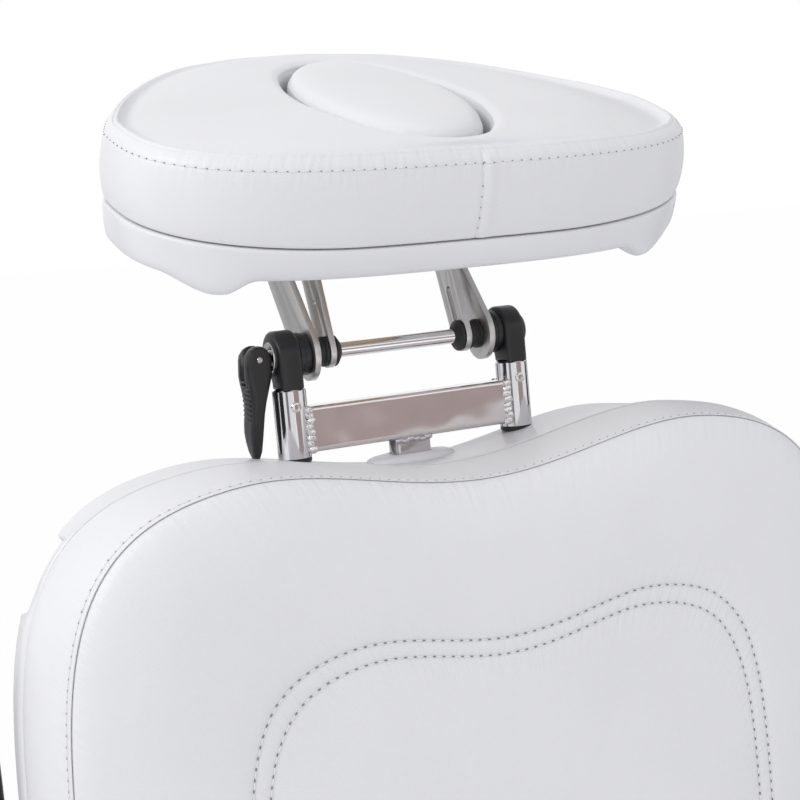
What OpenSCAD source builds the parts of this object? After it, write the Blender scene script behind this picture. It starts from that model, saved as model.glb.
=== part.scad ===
/* [Posture] */
// Lean of the backrest from upright, degrees
back_recline = 12; // [6:1:20]
// Tilt of the head cushion from level, degrees
head_tilt = 8; // [4:1:12]
// Drop of the leg rest below level, degrees
leg_drop = 70; // [62:1:72]

/* [Cushions] */
// Height of the seat deck above the floor
deck_z = 540; // [526:1:560]
// Depth of the side band of the seat, back and leg cushions
boxing_d = 56; // [50:1:62]
// Rise of the cushions above their top seam
crown_h = 22; // [16:1:26]
// How far the side band spreads from its top seam to the deck
band_flare = 14; // [8:1:18]
// Distance of the sewn double channel from the top seam
channel_inset = 92; // [85:1:100]
// Depth of the sewn channel
channel_d = 4; // [2:0.5:6]
// Half width of the back cushion at its top seam
back_half_w = 270; // [255:1:274]
// Lower end of the back cushion above its hinge
back_low = 30; // [29:1:40]
// Upper end of the back cushion above its hinge
back_high = 702; // [660:1:740]
// Dip in the middle of the top edge of the back cushion
back_dip = 18; // [10:1:24]
// Half width between the two humps beside that dip
back_hump_x = 152; // [130:1:170]
// Half width of the seat cushion at its top seam
seat_half_w = 268; // [255:1:274]
// Half width of the leg cushion at its top seam
leg_half_w = 256; // [240:1:268]
// Length of the leg cushion
leg_len = 460; // [400:1:470]

/* [Hinges] */
// Back hinge behind the column
back_hinge_dy = 215; // [200:1:230]
// Leg hinge in front of the column
leg_hinge_dy = 325; // [310:1:350]
// Rise of the back hinge above the seat deck
hinge_rise = 28; // [26:1:34]
// Depth of the leg hinge below the seat deck
hinge_sink = 47; // [44:1:50]
// Gap from the seat's rear seam to the back hinge
seat_rear_gap = 30; // [29:1:40]
// Gap from the seat's front seam to the leg hinge, and the same on the leg cushion
seat_front_gap = 20; // [19:1:30]
// Radius of the back and leg hinge pins
hinge_pin_r = 7; // [6:0.5:8]
// Position of the column along the chair
column_y = -24.6; // [-60:0.2:60]

/* [Head cushion] */
// Half width of the head cushion
head_half_w = 192; // [185:1:205]
// Reach of the head cushion in front of the tilt rod
head_front = 90; // [85:1:100]
// Reach of the head cushion behind the tilt rod
head_rear = 196; // [188:1:215]
// Height of the head tray's underside above the tilt rod
tray_low = 81; // [76:1:88]
// Height of the joint between tray and cushion above the tilt rod
tray_high = 98; // [95:1:102]
// Height of the top of the head cushion above the tilt rod
head_top = 159; // [150:1:166]
// Half width of the breathing hole
hole_half_w = 58; // [50:1:60]
// Half length of the breathing hole
hole_half_l = 106; // [90:1:108]
// Middle of the breathing hole behind the tilt rod
hole_y = 44; // [40:1:50]
// Gap round the loose plug in the breathing hole
plug_gap = 5; // [4:0.5:8]
// Width of the ledge that the loose plug rests on
ledge_w = 14; // [12:1:18]

/* [Head clamp] */
// Radius of the polished tilt rod
rod_r = 5; // [4.5:0.1:5.5]
// Height of the tilt rod above the cross tube
rod_rise = 48.2; // [46:0.1:52]
// Offset of the tilt rod behind the socket tubes
rod_back = 6.7; // [5:0.1:7]
// Distance between the two socket tubes
socket_gap = 165; // [160:0.5:170]
// Outer radius of the socket tubes
socket_r = 11; // [10:0.5:11.5]
// Wall of the socket tubes
socket_wall = 2; // [1.5:0.1:2.5]
// Height of the cross tube
cross_h = 30; // [28:1:34]
// Depth of the cross tube
cross_d = 17; // [15:1:18]
// Width of the mast bar
mast_w = 25; // [22:1:26]
// Depth of the mast bar
mast_d = 15; // [13:1:16]
// Length of the mast bar below the cross tube
mast_len = 330; // [280:1:360]
// Mast behind the deck plane of the back
mast_back = 55; // [54:1:58]
// Height of the cross tube above the cushion's humps
cross_rise = 10; // [8:1:14]
// Thickness of the steel arm plates under the head tray
arm_plate_t = 4; // [3:0.5:4.5]
// Inner face of the inner arm plates from the middle
inner_arm_x = 48; // [46:0.5:49]
// Inner face of the outer arm plates from the middle
outer_arm_x = 62; // [60:0.5:63]
// Width of the elbow heads along the rod
elbow_w = 15.5; // [15:0.5:17]
// Radius of the elbow heads
elbow_r = 17; // [16:0.5:18]
// Radius of the cam lever's round head
cam_r = 9; // [8:0.5:9.5]
// Width of the cam lever
cam_w = 20; // [18:1:22]
// Length of the cam lever below its pin
cam_len = 65; // [58:1:70]

/* [Armrests] */
// Armrest pivot above the back hinge
arm_pivot_z = 240; // [220:1:260]
// Length of the armrest pad
arm_pad_len = 350; // [320:1:380]
// Width of the armrest pad
arm_pad_w = 56; // [50:1:60]
// Thickness of the armrest pad
arm_pad_t = 34; // [28:1:38]
// Gap between the armrest and the side of the back
arm_side_gap = 7; // [6:0.5:12]

/* [Column and base] */
// Outer width of the lowest column tube
column_w = 160; // [150:1:166]
// Wall of the column tubes
column_wall = 4; // [3:0.5:4.5]
// Travel of each of the two column stages
stage_travel = 150; // [130:1:150]
// Length of the base plate
base_len = 860; // [800:1:900]
// Width of the base plate
base_w = 440; // [420:1:480]
// Thickness of the base plate
base_plate_t = 8; // [6:1:10]
// Height of the levelling feet
foot_h = 12; // [10:1:16]
// Radius of the levelling feet
foot_r = 22; // [18:1:26]
// Height of the base cover above the base plate
cover_h = 55; // [50:1:65]
// Depth of the cushion pans
pan_d = 27; // [25:1:28]
// Height of the lowest column tube
outer_len = 375; // [360:1:380]

/* [Hidden] */

// Shared clearances, walls and overruns
run_gap = 0.05;
seat_gap = 0.3;
cut = 1;
wall_t = 3;
fine = 72;
ring_steps = 56;
soft_steps = 40;
small_steps = 28;

// Rails and hinge ears of the seat, back and leg frames
rail_x = 180;
rail_w = 20;
rail_h = 40;
rail_d = 30;
ear_t = 8;
ear_r = 13;
ear_gap = 0.4;
ear_clear = 3;
ear_reach = 40;
bar_h = 40;

// Linear drives: axis depth below the deck, crank pin and its slot
drive_drop = 90;
crank_pin_r = 6;
crank_t = 12;
crank_rim = 8;
slot_spare_share = 0.038;
drive_x = 115;
drive_r = 19;
drive_rod_r = 11;
drive_len = 250;
drive_floor = 20;
drive_seat = 2;
motor_r = 26;
motor_len = 66;
back_travel_up = 3;
back_travel_down = 90 - back_recline;
back_crank_mid = (back_travel_down - back_travel_up) / 2;
back_crank_h = drive_drop + hinge_rise;
leg_crank_mid = leg_drop / 2;
leg_crank_h = drive_drop - hinge_sink;
fork_t = 5;

// Derived places
column_gap = 0.5;
back_hinge_y = column_y + back_hinge_dy;
leg_hinge_y = column_y - leg_hinge_dy;
rail_top = deck_z - pan_d;
rail_low = rail_top - rail_h;
head_plate_t = 12;
head_plate_z = rail_low - head_plate_t;
plate_z = foot_h + base_plate_t;
cross_z = back_high + cross_rise;
socket_x = socket_gap / 2;
socket_rise = 27;
socket_drop = 18;
elbow_in = socket_x - elbow_w / 2;
elbow_out = socket_x + elbow_w / 2;
washer_t = 1.5;
pin_x = elbow_out + washer_t + seat_gap + cam_r;
cam_pin_r = 2;
eye_t = 7;
eye_reach = 5;
pan_lip = 1;
pan_rim = 8;
edge_out = band_flare + pan_lip;
side_x = back_half_w + edge_out + arm_side_gap;

// Exponents of the lower and upper corners, and shares of outset and inset at the upper end
back_round = [8, 5.8, 0.5, 1.1];
seat_round = [6, 8, 1, 1];
leg_round = [4, 7, 1, 1];
// Exponents of the head cushion's front, and of its rear across and along
head_round = [3.1, 2.5, 1.2];
head_mid_y = 20;

// Frames of the moving groups
module in_back() {
    translate([0, back_hinge_y, deck_z + hinge_rise]) rotate([-back_recline, 0, 0])
        translate([0, hinge_rise, 0]) children();
}
module in_leg() {
    translate([0, leg_hinge_y, deck_z - hinge_sink]) rotate([leg_drop, 0, 0])
        translate([0, 0, hinge_sink]) children();
}
module in_mast() {
    in_back() translate([0, mast_back, cross_z]) children();
}
module in_rod() {
    in_mast() translate([0, rod_back, rod_rise]) children();
}
module in_head() {
    in_rod() rotate([back_recline + head_tilt, 0, 0]) children();
}
module both_sides() {
    children();
    mirror([1, 0, 0]) children();
}
module back_panel_frame() {
    in_back() rotate([90, 0, 0]) children();
}

// Outlines and lofts
function polar(a, b, n, p) =
    pow(pow(abs(cos(p)) / a, n) + pow(abs(sin(p)) / b, n), -1 / n);

function oval(cy, a, b, inset) =
    [for (i = [0:ring_steps - 1])
        let (p = 360 * i / ring_steps, r = polar(a - inset, b - inset, 2, p))
        [r * cos(p), cy + r * sin(p)]];

function panel(half_w, low, high, corners, inset, dip, hump) =
    let (mid = (low + high) / 2, a = half_w - inset,
         k = hump * a / half_w, fall = dip * a / half_w)
    [for (i = [0:ring_steps - 1])
        let (p = 360 * i / ring_steps, top = sin(p) > 0,
             b = (high - low) / 2 - inset * (top ? corners[inset < 0 ? 2 : 3] : 1),
             r = polar(a, b, corners[top ? 1 : 0], p), x = r * cos(p), y = r * sin(p),
             w = top && abs(x) < k ? pow(cos(90 * x / k), 2) : 0)
        [x, mid + y - fall * w]];

function bow(a, c, n) = a * sign(c) * pow(abs(c), 2 / n);

function head_outline(inset) =
    [for (i = [0:ring_steps - 1])
        let (p = 360 * i / ring_steps, rear = sin(p) > 0,
             b = (rear ? head_rear - head_mid_y : head_front + head_mid_y) - inset)
        [bow(head_half_w - inset, cos(p), head_round[rear ? 1 : 0]),
         head_mid_y + bow(b, sin(p), head_round[rear ? 2 : 0])]];

function lift(outline, z) = [for (q = outline) [q[0], q[1], z]];

function crown(outline, top, fall_x, fall_y, cy) =
    [for (q = outline)
        [q[0], q[1], top - fall_x * pow(q[0] / head_half_w, 2)
            - fall_y * pow((q[1] - cy) / head_rear, 2)]];

function between(a, b, f) = [for (i = [0:len(a) - 1]) a[i] * (1 - f) + b[i] * f];

function join(lists) = [for (l = lists) for (q = l) q];

function stadium(half_w, len, inset) =
    [for (i = [0:soft_steps - 1])
        let (p = 360 * (i + 0.5) / soft_steps, r = half_w - inset,
             mid = sin(p) > 0 ? len - half_w : half_w)
        [r * cos(p), mid + r * sin(p)]];

function ring_middle(ring, k = 0, s = [0, 0, 0]) =
    k == len(ring) ? s / len(ring) : ring_middle(ring, k + 1, s + ring[k]);

// A solid skin through a list of rings, capped at both ends or closed on itself
module loft(rings, loop = false) {
    n = len(rings[0]);
    m = len(rings);
    points = concat(join(rings), loop ? [] : [ring_middle(rings[0]), ring_middle(rings[m - 1])]);
    sides = [for (i = [0:(loop ? m - 1 : m - 2)]) for (j = [0:n - 1])
        let (a = i * n + j, b = i * n + (j + 1) % n,
             c = ((i + 1) % m) * n + (j + 1) % n, d = ((i + 1) % m) * n + j)
        each [[a, d, c], [a, c, b]]];
    caps = loop ? [] : [for (j = [0:n - 1])
        each [[m * n, j, (j + 1) % n],
              [m * n + 1, (m - 1) * n + (j + 1) % n, (m - 1) * n + j]]];
    polyhedron(points = points, faces = concat(sides, caps), convexity = 6);
}

// Side band and crowned top of a cushion: shares of flare, bulge, depth, then of the top
side_shares = [[1, 0, 0], [1.1, 0.3, 0.12], [0.75, 0.55, 0.5], [0.2, 0.3, 0.88], [0, 0, 1]];
top_shares = [[0.06, 0.22, 0], [0.25, 0.52, 0], [0.6, 0.8, 0], [0.93, 0.9, 0], [1, 0.9, 1],
    [1.07, 0.91, 0], [1.6, 0.98, 0], [2.2, 1, 0]];
bulge = 3;

function cushion_rings(half_w, low, high, corners, channel, dip = 0, hump = 1) = concat(
    [for (s = side_shares)
        lift(panel(half_w, low, high, corners, -band_flare * s[0] - bulge * s[1], dip, hump),
            seat_gap + (boxing_d - seat_gap) * s[2])],
    [for (s = top_shares)
        lift(panel(half_w, low, high, corners, channel * s[0], dip, hump),
            boxing_d + crown_h * s[1] - channel_d * s[2])]);

// Shallow moulded bowl under a cushion; its side may slope in below the rim
module pan(half_w, low, high, corners, slope = 0, dip = 0, hump = 1) {
    soft = wall_t * 3;
    rows = [[soft + slope, -pan_d], [wall_t + slope, wall_t - pan_d], [0, -pan_rim], [0, 0],
        [wall_t, 0], [wall_t, -pan_rim], [2 * wall_t + slope, 2 * wall_t - pan_d],
        [soft + slope + wall_t, wall_t - pan_d]];
    loft([for (w = rows)
        lift(panel(half_w, low, high, corners, w[0] - edge_out, dip, hump), w[1])]);
}

// Head cushion: side band and top as heights and insets
head_band = tray_high + seat_gap;
head_fall_x = 9;
head_fall_y = 8;
head_fall_at = 50;
lip_w = 7;
lip_d = 6;
head_side_shares = [[1, 0], [0.6, 0.1], [0.2, 0.24], [0, 0.44], [0, 0.64], [0.3, 0.8], [1.1, 0.9]];
head_tuck = 6;
head_shoulder = 14;

module headrest_cushion() {
    rise = head_top - head_band;
    slopes = [0, 0.35, 0.75, 1];
    hole = oval(hole_y, hole_half_w, hole_half_l, 0);
    lip = oval(hole_y, hole_half_w, hole_half_l, -lip_w);
    shoulder = head_outline(head_shoulder);
    color("whitesmoke") in_head() loft(concat(
        [for (s = head_side_shares) lift(head_outline(head_tuck * s[0]), head_band + rise * s[1])],
        [for (f = slopes)
            crown(between(shoulder, lip, f), head_top, head_fall_x, head_fall_y, head_fall_at)],
        [crown(hole, head_top - lip_d, head_fall_x, head_fall_y, head_fall_at),
         lift(hole, head_band)]), loop = true);
}

tray_in = 6;
tray_rim = 5;
tray_round = 7;
tray_rim_w = 13;
strip_t = 3;
lump_x = 144;
lump_y = -58;
lump_len = 26;
lump_r = 12;

module headrest_tray() {
    ledge = oval(hole_y, hole_half_w, hole_half_l, ledge_w);
    color("white") in_head() union() {
        loft([
            lift(head_outline(tray_in + tray_round), tray_low),
            lift(head_outline(tray_in + wall_t), tray_low + wall_t),
            lift(head_outline(tray_in), tray_high - wall_t),
            lift(head_outline(tray_in), tray_high),
            lift(ledge, tray_high),
            lift(ledge, tray_low + tray_rim),
            lift(head_outline(tray_in + tray_rim_w), tray_low + tray_rim),
            lift(head_outline(tray_in + tray_rim_w), tray_low)], loop = true);
        both_sides() hull() {
            for (y = [0, lump_len])
                translate([lump_x, lump_y + y, tray_low]) sphere(r = lump_r, $fn = 24);
            translate([lump_x, lump_y + lump_len / 2, tray_low + tray_rim])
                cylinder(r = lump_r, h = wall_t, $fn = 24);
        }
    }
}

// Loose plug for the breathing hole: board, then the padded top as insets and heights
plug_board_t = 6;
plug_rise = 4;
plug_round = 8;
board_in = 1;
plug_shares = [[0, 1.4], [0.3, 0.7], [1, 0.25], [3, 0]];

module plug_board() {
    color("burlywood") in_head() translate([0, 0, tray_high + seat_gap])
        linear_extrude(plug_board_t)
            polygon(oval(hole_y, hole_half_w, hole_half_l, plug_gap + board_in));
}

module plug_cushion() {
    low = tray_high + seat_gap + plug_board_t;
    top = head_top + plug_rise;
    color("whitesmoke") in_head() loft(concat([
        lift(oval(hole_y, hole_half_w, hole_half_l, plug_gap + board_in), low),
        lift(oval(hole_y, hole_half_w, hole_half_l, plug_gap), low + wall_t)],
        [for (w = plug_shares)
            lift(oval(hole_y, hole_half_w, hole_half_l, plug_gap + plug_round * w[0]),
                top - plug_round * w[1])]));
}

// Steel arms that carry the head tray on the tilt rod
inner_lean = 50;
outer_lean = 32;
inner_end_r = 11;
outer_end_r = 18;
inner_top_w = 28;
outer_top_w = 24;
arm_reach = 190;
slot_w = 6;
slot_from = 13;
slot_to = 33;
strip_low = tray_low + tray_rim - strip_t;
strip_gap = 2;
strip_y = 38;
strip_len = 118;

module arm_outline(lean, end_r, top_w, slotted) {
    difference() {
        union() {
            circle(r = end_r, $fn = fine);
            intersection() {
                rotate([0, 0, lean]) polygon([[0, -end_r], [arm_reach, -top_w / 2],
                    [arm_reach, top_w / 2], [0, end_r]]);
                translate([-arm_reach, -arm_reach]) square([3 * arm_reach, arm_reach + strip_low]);
            }
        }
        circle(r = rod_r + run_gap, $fn = fine);
        if (slotted) rotate([0, 0, lean]) {
            translate([slot_from, -slot_w / 2]) square([slot_to - slot_from, slot_w]);
            for (u = [slot_from, slot_to]) translate([u, 0]) circle(d = slot_w, $fn = fine);
        }
    }
}

module arm_plate(x, lean, end_r, top_w, slotted) {
    translate([x, 0, 0]) rotate([90, 0, 90])
        linear_extrude(arm_plate_t) arm_outline(lean, end_r, top_w, slotted);
}

module inner_arms() {
    color("silver") in_head() both_sides()
        arm_plate(inner_arm_x, inner_lean, inner_end_r, inner_top_w, true);
}

module outer_arms() {
    color("silver") in_head() both_sides()
        arm_plate(outer_arm_x, outer_lean, outer_end_r, outer_top_w, false);
}

module arm_mount_strips() {
    from = hole_half_w - ledge_w + strip_gap;
    to = outer_arm_x + arm_plate_t + strip_gap;
    color("silver") in_head() both_sides()
        translate([from, strip_y, strip_low]) cube([to - from, strip_len, strip_t]);
}

spacer_r = 10;
module ring_x(from, to, r, bore) {
    translate([from, 0, 0]) rotate([0, 90, 0]) difference() {
        cylinder(r = r, h = to - from, $fn = fine);
        translate([0, 0, -cut]) cylinder(r = bore, h = to - from + 2 * cut, $fn = fine);
    }
}

module arm_spacers() {
    color("dimgray") in_head() both_sides()
        ring_x(inner_arm_x + arm_plate_t, outer_arm_x, spacer_r, rod_r + run_gap);
}

// Rod, rubber bumpers, collars and elbows of the head clamp
bumper_w = 5;
bumper_big = 10.5;
bumper_small = 6.5;
collar_r = 14.5;
stem_less = 1;
nut_t = 5;
nut_r = 12;

module tilt_rod() {
    eye_z = rod_r;
    flat_from = elbow_out + washer_t;
    color("gainsboro") in_rod() difference() {
        union() {
            translate([-flat_from, 0, 0]) rotate([0, 90, 0])
                cylinder(r = rod_r, h = flat_from + elbow_out, $fn = fine);
            translate([-pin_x - eye_reach, -eye_t / 2, -eye_z])
                cube([pin_x + eye_reach - flat_from, eye_t, 2 * eye_z]);
        }
        translate([-pin_x, 0, 0]) rotate([90, 0, 0])
            cylinder(r = cam_pin_r + run_gap, h = eye_t + 2 * cut, center = true, $fn = fine);
    }
}

module rod_bumpers() {
    end = inner_arm_x - seat_gap;
    color("dimgray") in_rod() both_sides()
        translate([end, 0, 0]) rotate([0, -90, 0]) rotate_extrude($fn = fine)
            polygon([[rod_r + run_gap, 0], [bumper_big, 0], [bumper_big, bumper_w / 3],
                [bumper_small, bumper_w], [rod_r + run_gap, bumper_w]]);
}

module clamp_collars() {
    color("dimgray") in_rod() both_sides()
        ring_x(outer_arm_x + arm_plate_t + seat_gap, elbow_in, collar_r, rod_r + run_gap);
}

module elbow_shape() {
    front = -elbow_r;
    stem_w = 2 * (elbow_r - rod_back) - stem_less;
    low = socket_rise - rod_rise;
    difference() {
        union() {
            circle(r = elbow_r, $fn = fine);
            polygon([[front, 0], [elbow_r, 0], [front + stem_w, low], [front, low]]);
        }
        circle(r = rod_r + run_gap, $fn = fine);
    }
}

module elbow_joints() {
    stub_r = socket_r - socket_wall - run_gap;
    color("dimgray") both_sides() {
        in_rod() translate([elbow_in, 0, 0]) rotate([90, 0, 90])
            linear_extrude(elbow_w) elbow_shape();
        in_mast() translate([socket_x, 0, -socket_drop / 2])
            cylinder(r = stub_r, h = socket_rise + socket_drop / 2, $fn = fine);
    }
}

module cam_washer() {
    color("silver") in_rod() mirror([1, 0, 0])
        ring_x(elbow_out, elbow_out + washer_t, elbow_r * 0.6, rod_r + run_gap);
}

module rod_end_nut() {
    color("dimgray") in_rod() translate([elbow_out, 0, 0]) rotate([0, 90, 0])
        cylinder(r1 = nut_r, r2 = nut_r * 0.8, h = nut_t, $fn = fine);
}

// Quick-release cam lever, hanging outside the left elbow
lever_in_shares = [[0.62, 0.62], [0.3, 0.34], [-0.2, 0.62], [-0.72, 0.95]];
lever_ribs = 9;
rib_t = 1;
rib_gap = 4.6;
fork_slot = eye_t + 0.8;
slot_depth = 18;
tip_w = 6;

module cam_lever() {
    lean = cam_r * 0.75;
    color("dimgray") in_rod() translate([-pin_x, 0, 0]) difference() {
        union() {
            rotate([90, 0, 0]) linear_extrude(cam_w, center = true) {
                circle(r = cam_r, $fn = fine);
                polygon([[-cam_r, 0], [cam_r, 0], [cam_r * 0.45, -cam_len * 0.28],
                    [0, -cam_len * 0.55], [-lean + tip_w / 2, -cam_len],
                    [-lean - tip_w / 2, -cam_len], [-cam_r * 0.9, -cam_len * 0.45]]);
            }
            for (i = [0:lever_ribs - 1])
                translate([-cam_r - rib_t / 2, -cam_w * 0.4, -slot_depth - rib_gap * (i + 1)])
                    cube([cam_r * 0.6, cam_w * 0.8, rib_gap / 2]);
        }
        translate([-2 * cam_r, -fork_slot / 2, -slot_depth])
            cube([4 * cam_r, fork_slot, slot_depth + 2 * cam_r]);
        rotate([90, 0, 0])
            cylinder(r = cam_pin_r, h = cam_w + 2 * cut, center = true, $fn = fine);
    }
}

module cam_lever_pin() {
    color("silver") in_rod() translate([-pin_x, 0, 0]) rotate([90, 0, 0])
        cylinder(r = cam_pin_r, h = cam_w, center = true, $fn = fine);
}

// Socket tubes, cross tube and mast
cap_t = 3;
screw_r = 3.6;
screw_rise = 16;
screw_out = 1.2;
slit_w = 1.6;
slit_len = 22;
cross_wall = 1.5;
corner_r = 3;
bead_r = 2;
mast_edge = 1;

module socket_tubes() {
    color("gainsboro") in_mast() both_sides() translate([socket_x, 0, 0]) difference() {
        translate([0, 0, -socket_drop])
            cylinder(r = socket_r, h = socket_rise + socket_drop, $fn = fine);
        translate([0, 0, -socket_drop - cut]) cylinder(r = socket_r - socket_wall,
            h = socket_rise + socket_drop + 2 * cut, $fn = fine);
        translate([0, 0, screw_rise]) rotate([90, 0, 0])
            cylinder(r = screw_r, h = socket_r + cut, $fn = fine);
        translate([0, -slit_w / 2, socket_rise - slit_len])
            cube([socket_r + cut, slit_w, slit_len + cut]);
    }
}

module socket_end_caps() {
    plug_r = socket_r - socket_wall - run_gap;
    color("dimgray") in_mast() both_sides() translate([socket_x, 0, -socket_drop - cap_t]) union() {
        cylinder(r = socket_r, h = cap_t, $fn = fine);
        cylinder(r = plug_r, h = 2 * cap_t, $fn = fine);
    }
}

module socket_set_screws() {
    from = socket_r - socket_wall;
    color("silver") in_mast() both_sides()
        translate([socket_x, -from, screw_rise]) rotate([90, 0, 0])
            cylinder(r = screw_r - run_gap, h = socket_wall + screw_out, $fn = fine);
}

module rounded_bar(w, d, r, len) {
    linear_extrude(len) difference() {
        square([w, d], center = true);
        for (i = [-1, 1], j = [-1, 1]) translate([i * w / 2, j * d / 2]) difference() {
            square(2 * r, center = true);
            translate([-i * r, -j * r]) circle(r = r, $fn = fine);
        }
    }
}

module cross_tube() {
    len = socket_gap - 2 * socket_r;
    color("gainsboro") in_mast() translate([-len / 2, 0, 0]) rotate([0, 90, 0]) difference() {
        rounded_bar(cross_h, cross_d, corner_r, len);
        translate([0, 0, -cut])
            rounded_bar(cross_h - 2 * cross_wall, cross_d - 2 * cross_wall,
                corner_r - cross_wall, len + 2 * cut);
    }
}

// Weld beads in front of and behind the cross tube's ends
module weld_beads() {
    y = cross_d / 2;
    x = socket_x - sqrt(socket_r * socket_r - y * y);
    color("gainsboro") in_mast() both_sides() for (s = [-1, 1])
        translate([x - bead_r, s * y, -cross_h / 2 + corner_r]) difference() {
            cylinder(r = bead_r, h = cross_h - 2 * corner_r, $fn = small_steps);
            translate([-bead_r - cut, s > 0 ? -2 * bead_r : 0, -cut])
                cube([2 * bead_r + 2 * cut, 2 * bead_r, cross_h]);
        }
}

module mast() {
    color("gainsboro") in_mast() translate([0, 0, -cross_h / 2 - mast_len])
        rounded_bar(mast_w, mast_d, mast_edge, mast_len);
}

// Backrest
grommet_w = 63;
grommet_d = 36;
grommet_t = 8;
grommet_drop = 24;
block_half_w = 225;
block_reach = 62;
block_back = mast_back + grommet_d / 2 + 2 * wall_t;
block_draft = 20;
side_from_x = 200;
side_top_z = 596;
receiver_wall = 3;
receiver_len = 352;
pan_slope = 12;
grommet_z = cross_z - grommet_drop - grommet_t;

module back_cushion() {
    color("whitesmoke") back_panel_frame()
        loft(cushion_rings(back_half_w, back_low, back_high, back_round, channel_inset,
            back_dip, back_hump_x));
}

function back_ring(inset, z) =
    lift(panel(back_half_w, back_low, back_high, back_round, inset - edge_out, back_dip,
        back_hump_x), z);

// Deep top of the shell round the mast, as draft and depth shares
block_shares = [[1.7, 1], [1.05, 0.86], [0.95, 0.32], [0.05, 0.04]];
module shell_block(less) {
    intersection() {
        back_panel_frame() loft([for (w = block_shares)
            lift(panel(back_half_w + wall_t, back_low, back_high, back_round,
                less + block_draft * w[0] - edge_out, back_dip, back_hump_x),
                -(block_back - less) * w[1])]);
        in_back() translate([less - block_half_w, 0, back_high - block_reach + less])
            cube([2 * (block_half_w - less), 2 * block_back, block_reach + edge_out]);
    }
}

// Deeper bands down both sides of the shell
module shell_sides() {
    soft = wall_t * 3;
    proud = wall_t / 8;
    difference() {
        intersection() {
            back_panel_frame() loft([back_ring(soft, proud - pan_d),
                back_ring(wall_t, wall_t - pan_d), back_ring(-proud, soft - pan_d),
                back_ring(-proud, -pan_rim / 2)]);
            in_back() both_sides() translate([side_from_x, 0, back_low - edge_out - cut])
                cube([back_half_w, 2 * pan_d, side_top_z - back_low + edge_out]);
        }
        back_panel_frame() loft([back_ring(soft + pan_slope + wall_t, -pan_d - cut),
            back_ring(2 * wall_t + pan_slope, wall_t - pan_d),
            back_ring(wall_t / 2, -pan_rim), back_ring(wall_t / 2, cut)]);
    }
}

module back_shell() {
    slot_w = mast_w + 2 * receiver_wall + 2 * seat_gap;
    slot_d = mast_d + 2 * receiver_wall + 2 * seat_gap;
    color("white") difference() {
        union() {
            back_panel_frame() pan(back_half_w, back_low, back_high, back_round, pan_slope,
                back_dip, back_hump_x);
            shell_sides();
            difference() {
                shell_block(0);
                shell_block(wall_t);
                in_back() translate([-block_half_w - cut, -cut, back_high - block_reach - cut])
                    cube([2 * block_half_w + 2 * cut, cut + pan_d - wall_t / 2, 2 * block_reach]);
            }
        }
        in_back() translate([-slot_w / 2, mast_back - slot_d / 2, back_high - 2 * block_reach])
            cube([slot_w, slot_d, 2 * block_reach + edge_out]);
        in_back() translate([-grommet_w / 2 - cut, mast_back - grommet_d / 2 - cut, grommet_z])
            cube([grommet_w + 2 * cut, grommet_d + 2 * cut, block_reach]);
    }
}

module mast_grommet() {
    end_r = grommet_d / 2;
    half = grommet_w / 2 - end_r;
    color("white") in_back() translate([0, mast_back, grommet_z])
        linear_extrude(grommet_t) difference() {
            union() {
                square([2 * half, grommet_d], center = true);
                for (s = [-1, 1]) translate([s * half, 0]) circle(r = end_r, $fn = fine);
            }
            square([mast_w + 2 * seat_gap, mast_d + 2 * seat_gap], center = true);
        }
}

module mast_receiver() {
    w = mast_w + 2 * receiver_wall;
    d = mast_d + 2 * receiver_wall;
    color("silver") in_back() translate([0, mast_back, grommet_z - receiver_len]) difference() {
        translate([-w / 2, -d / 2, 0]) cube([w, d, receiver_len]);
        translate([-mast_w / 2 - seat_gap, -mast_d / 2 - seat_gap, -cut])
            cube([mast_w + 2 * seat_gap, mast_d + 2 * seat_gap, receiver_len + 2 * cut]);
    }
}

rail_front = pan_d;
back_rail_top = back_high - block_reach - 2 * wall_t;
bar_heights = [60, 345, 560];
bar_t = mast_back - mast_d / 2 - receiver_wall - rail_front;

// Ear plate round a hinge axis, drawn in the side plane
module ear(x, centre, outline) {
    translate([x, 0, 0]) rotate([90, 0, 90]) linear_extrude(ear_t) difference() {
        union() {
            translate(centre) circle(r = ear_r, $fn = fine);
            polygon(outline);
        }
        translate(centre) circle(r = hinge_pin_r + run_gap, $fn = fine);
    }
}

module back_rails() {
    rear = rail_front + rail_d;
    step = back_low - edge_out - ear_clear;
    color("lightgray") in_back() both_sides() union() {
        translate([rail_x - rail_w / 2, rail_front, back_low])
            cube([rail_w, rail_d, back_rail_top - back_low]);
        ear(rail_x - ear_t, [-hinge_rise, 0], [[-hinge_rise, -ear_r], [rail_front, -ear_r],
            [rear, 0], [rear, back_low + ear_reach], [rail_front, back_low + ear_reach],
            [rail_front, step], [-hinge_rise, step]]);
    }
}

module back_crossbars() {
    color("lightgray") in_back() for (z = bar_heights)
        translate([-rail_x + rail_w / 2, rail_front, z])
            cube([2 * rail_x - rail_w, bar_t, bar_h]);
}

// Slotted crank plate in the side plane, pointing away from its hinge
function slot_half(h) = crank_pin_r + slot_spare_share * h;
function slot_in(h) = h - slot_half(h);
function slot_out(h, a) = h / cos(a) + slot_half(h);
function crank_corner(h, turn, side) =
    let (u = slot_in(h) - crank_rim, v = side * (slot_half(h) + crank_rim))
    [u * cos(turn) - v * sin(turn), u * sin(turn) + v * cos(turn)];

module crank_shape(h, a, turn, centre, root) {
    half = slot_half(h);
    len = slot_out(h, a) - slot_in(h);
    translate(centre) difference() {
        union() {
            rotate([0, 0, turn]) translate([slot_in(h) - crank_rim, -half - crank_rim])
                square([len + 2 * crank_rim, 2 * (half + crank_rim)]);
            polygon(concat(root, [crank_corner(h, turn, 1), crank_corner(h, turn, -1)]));
        }
        rotate([0, 0, turn]) translate([slot_in(h), -half]) square([len, 2 * half]);
    }
}

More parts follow.
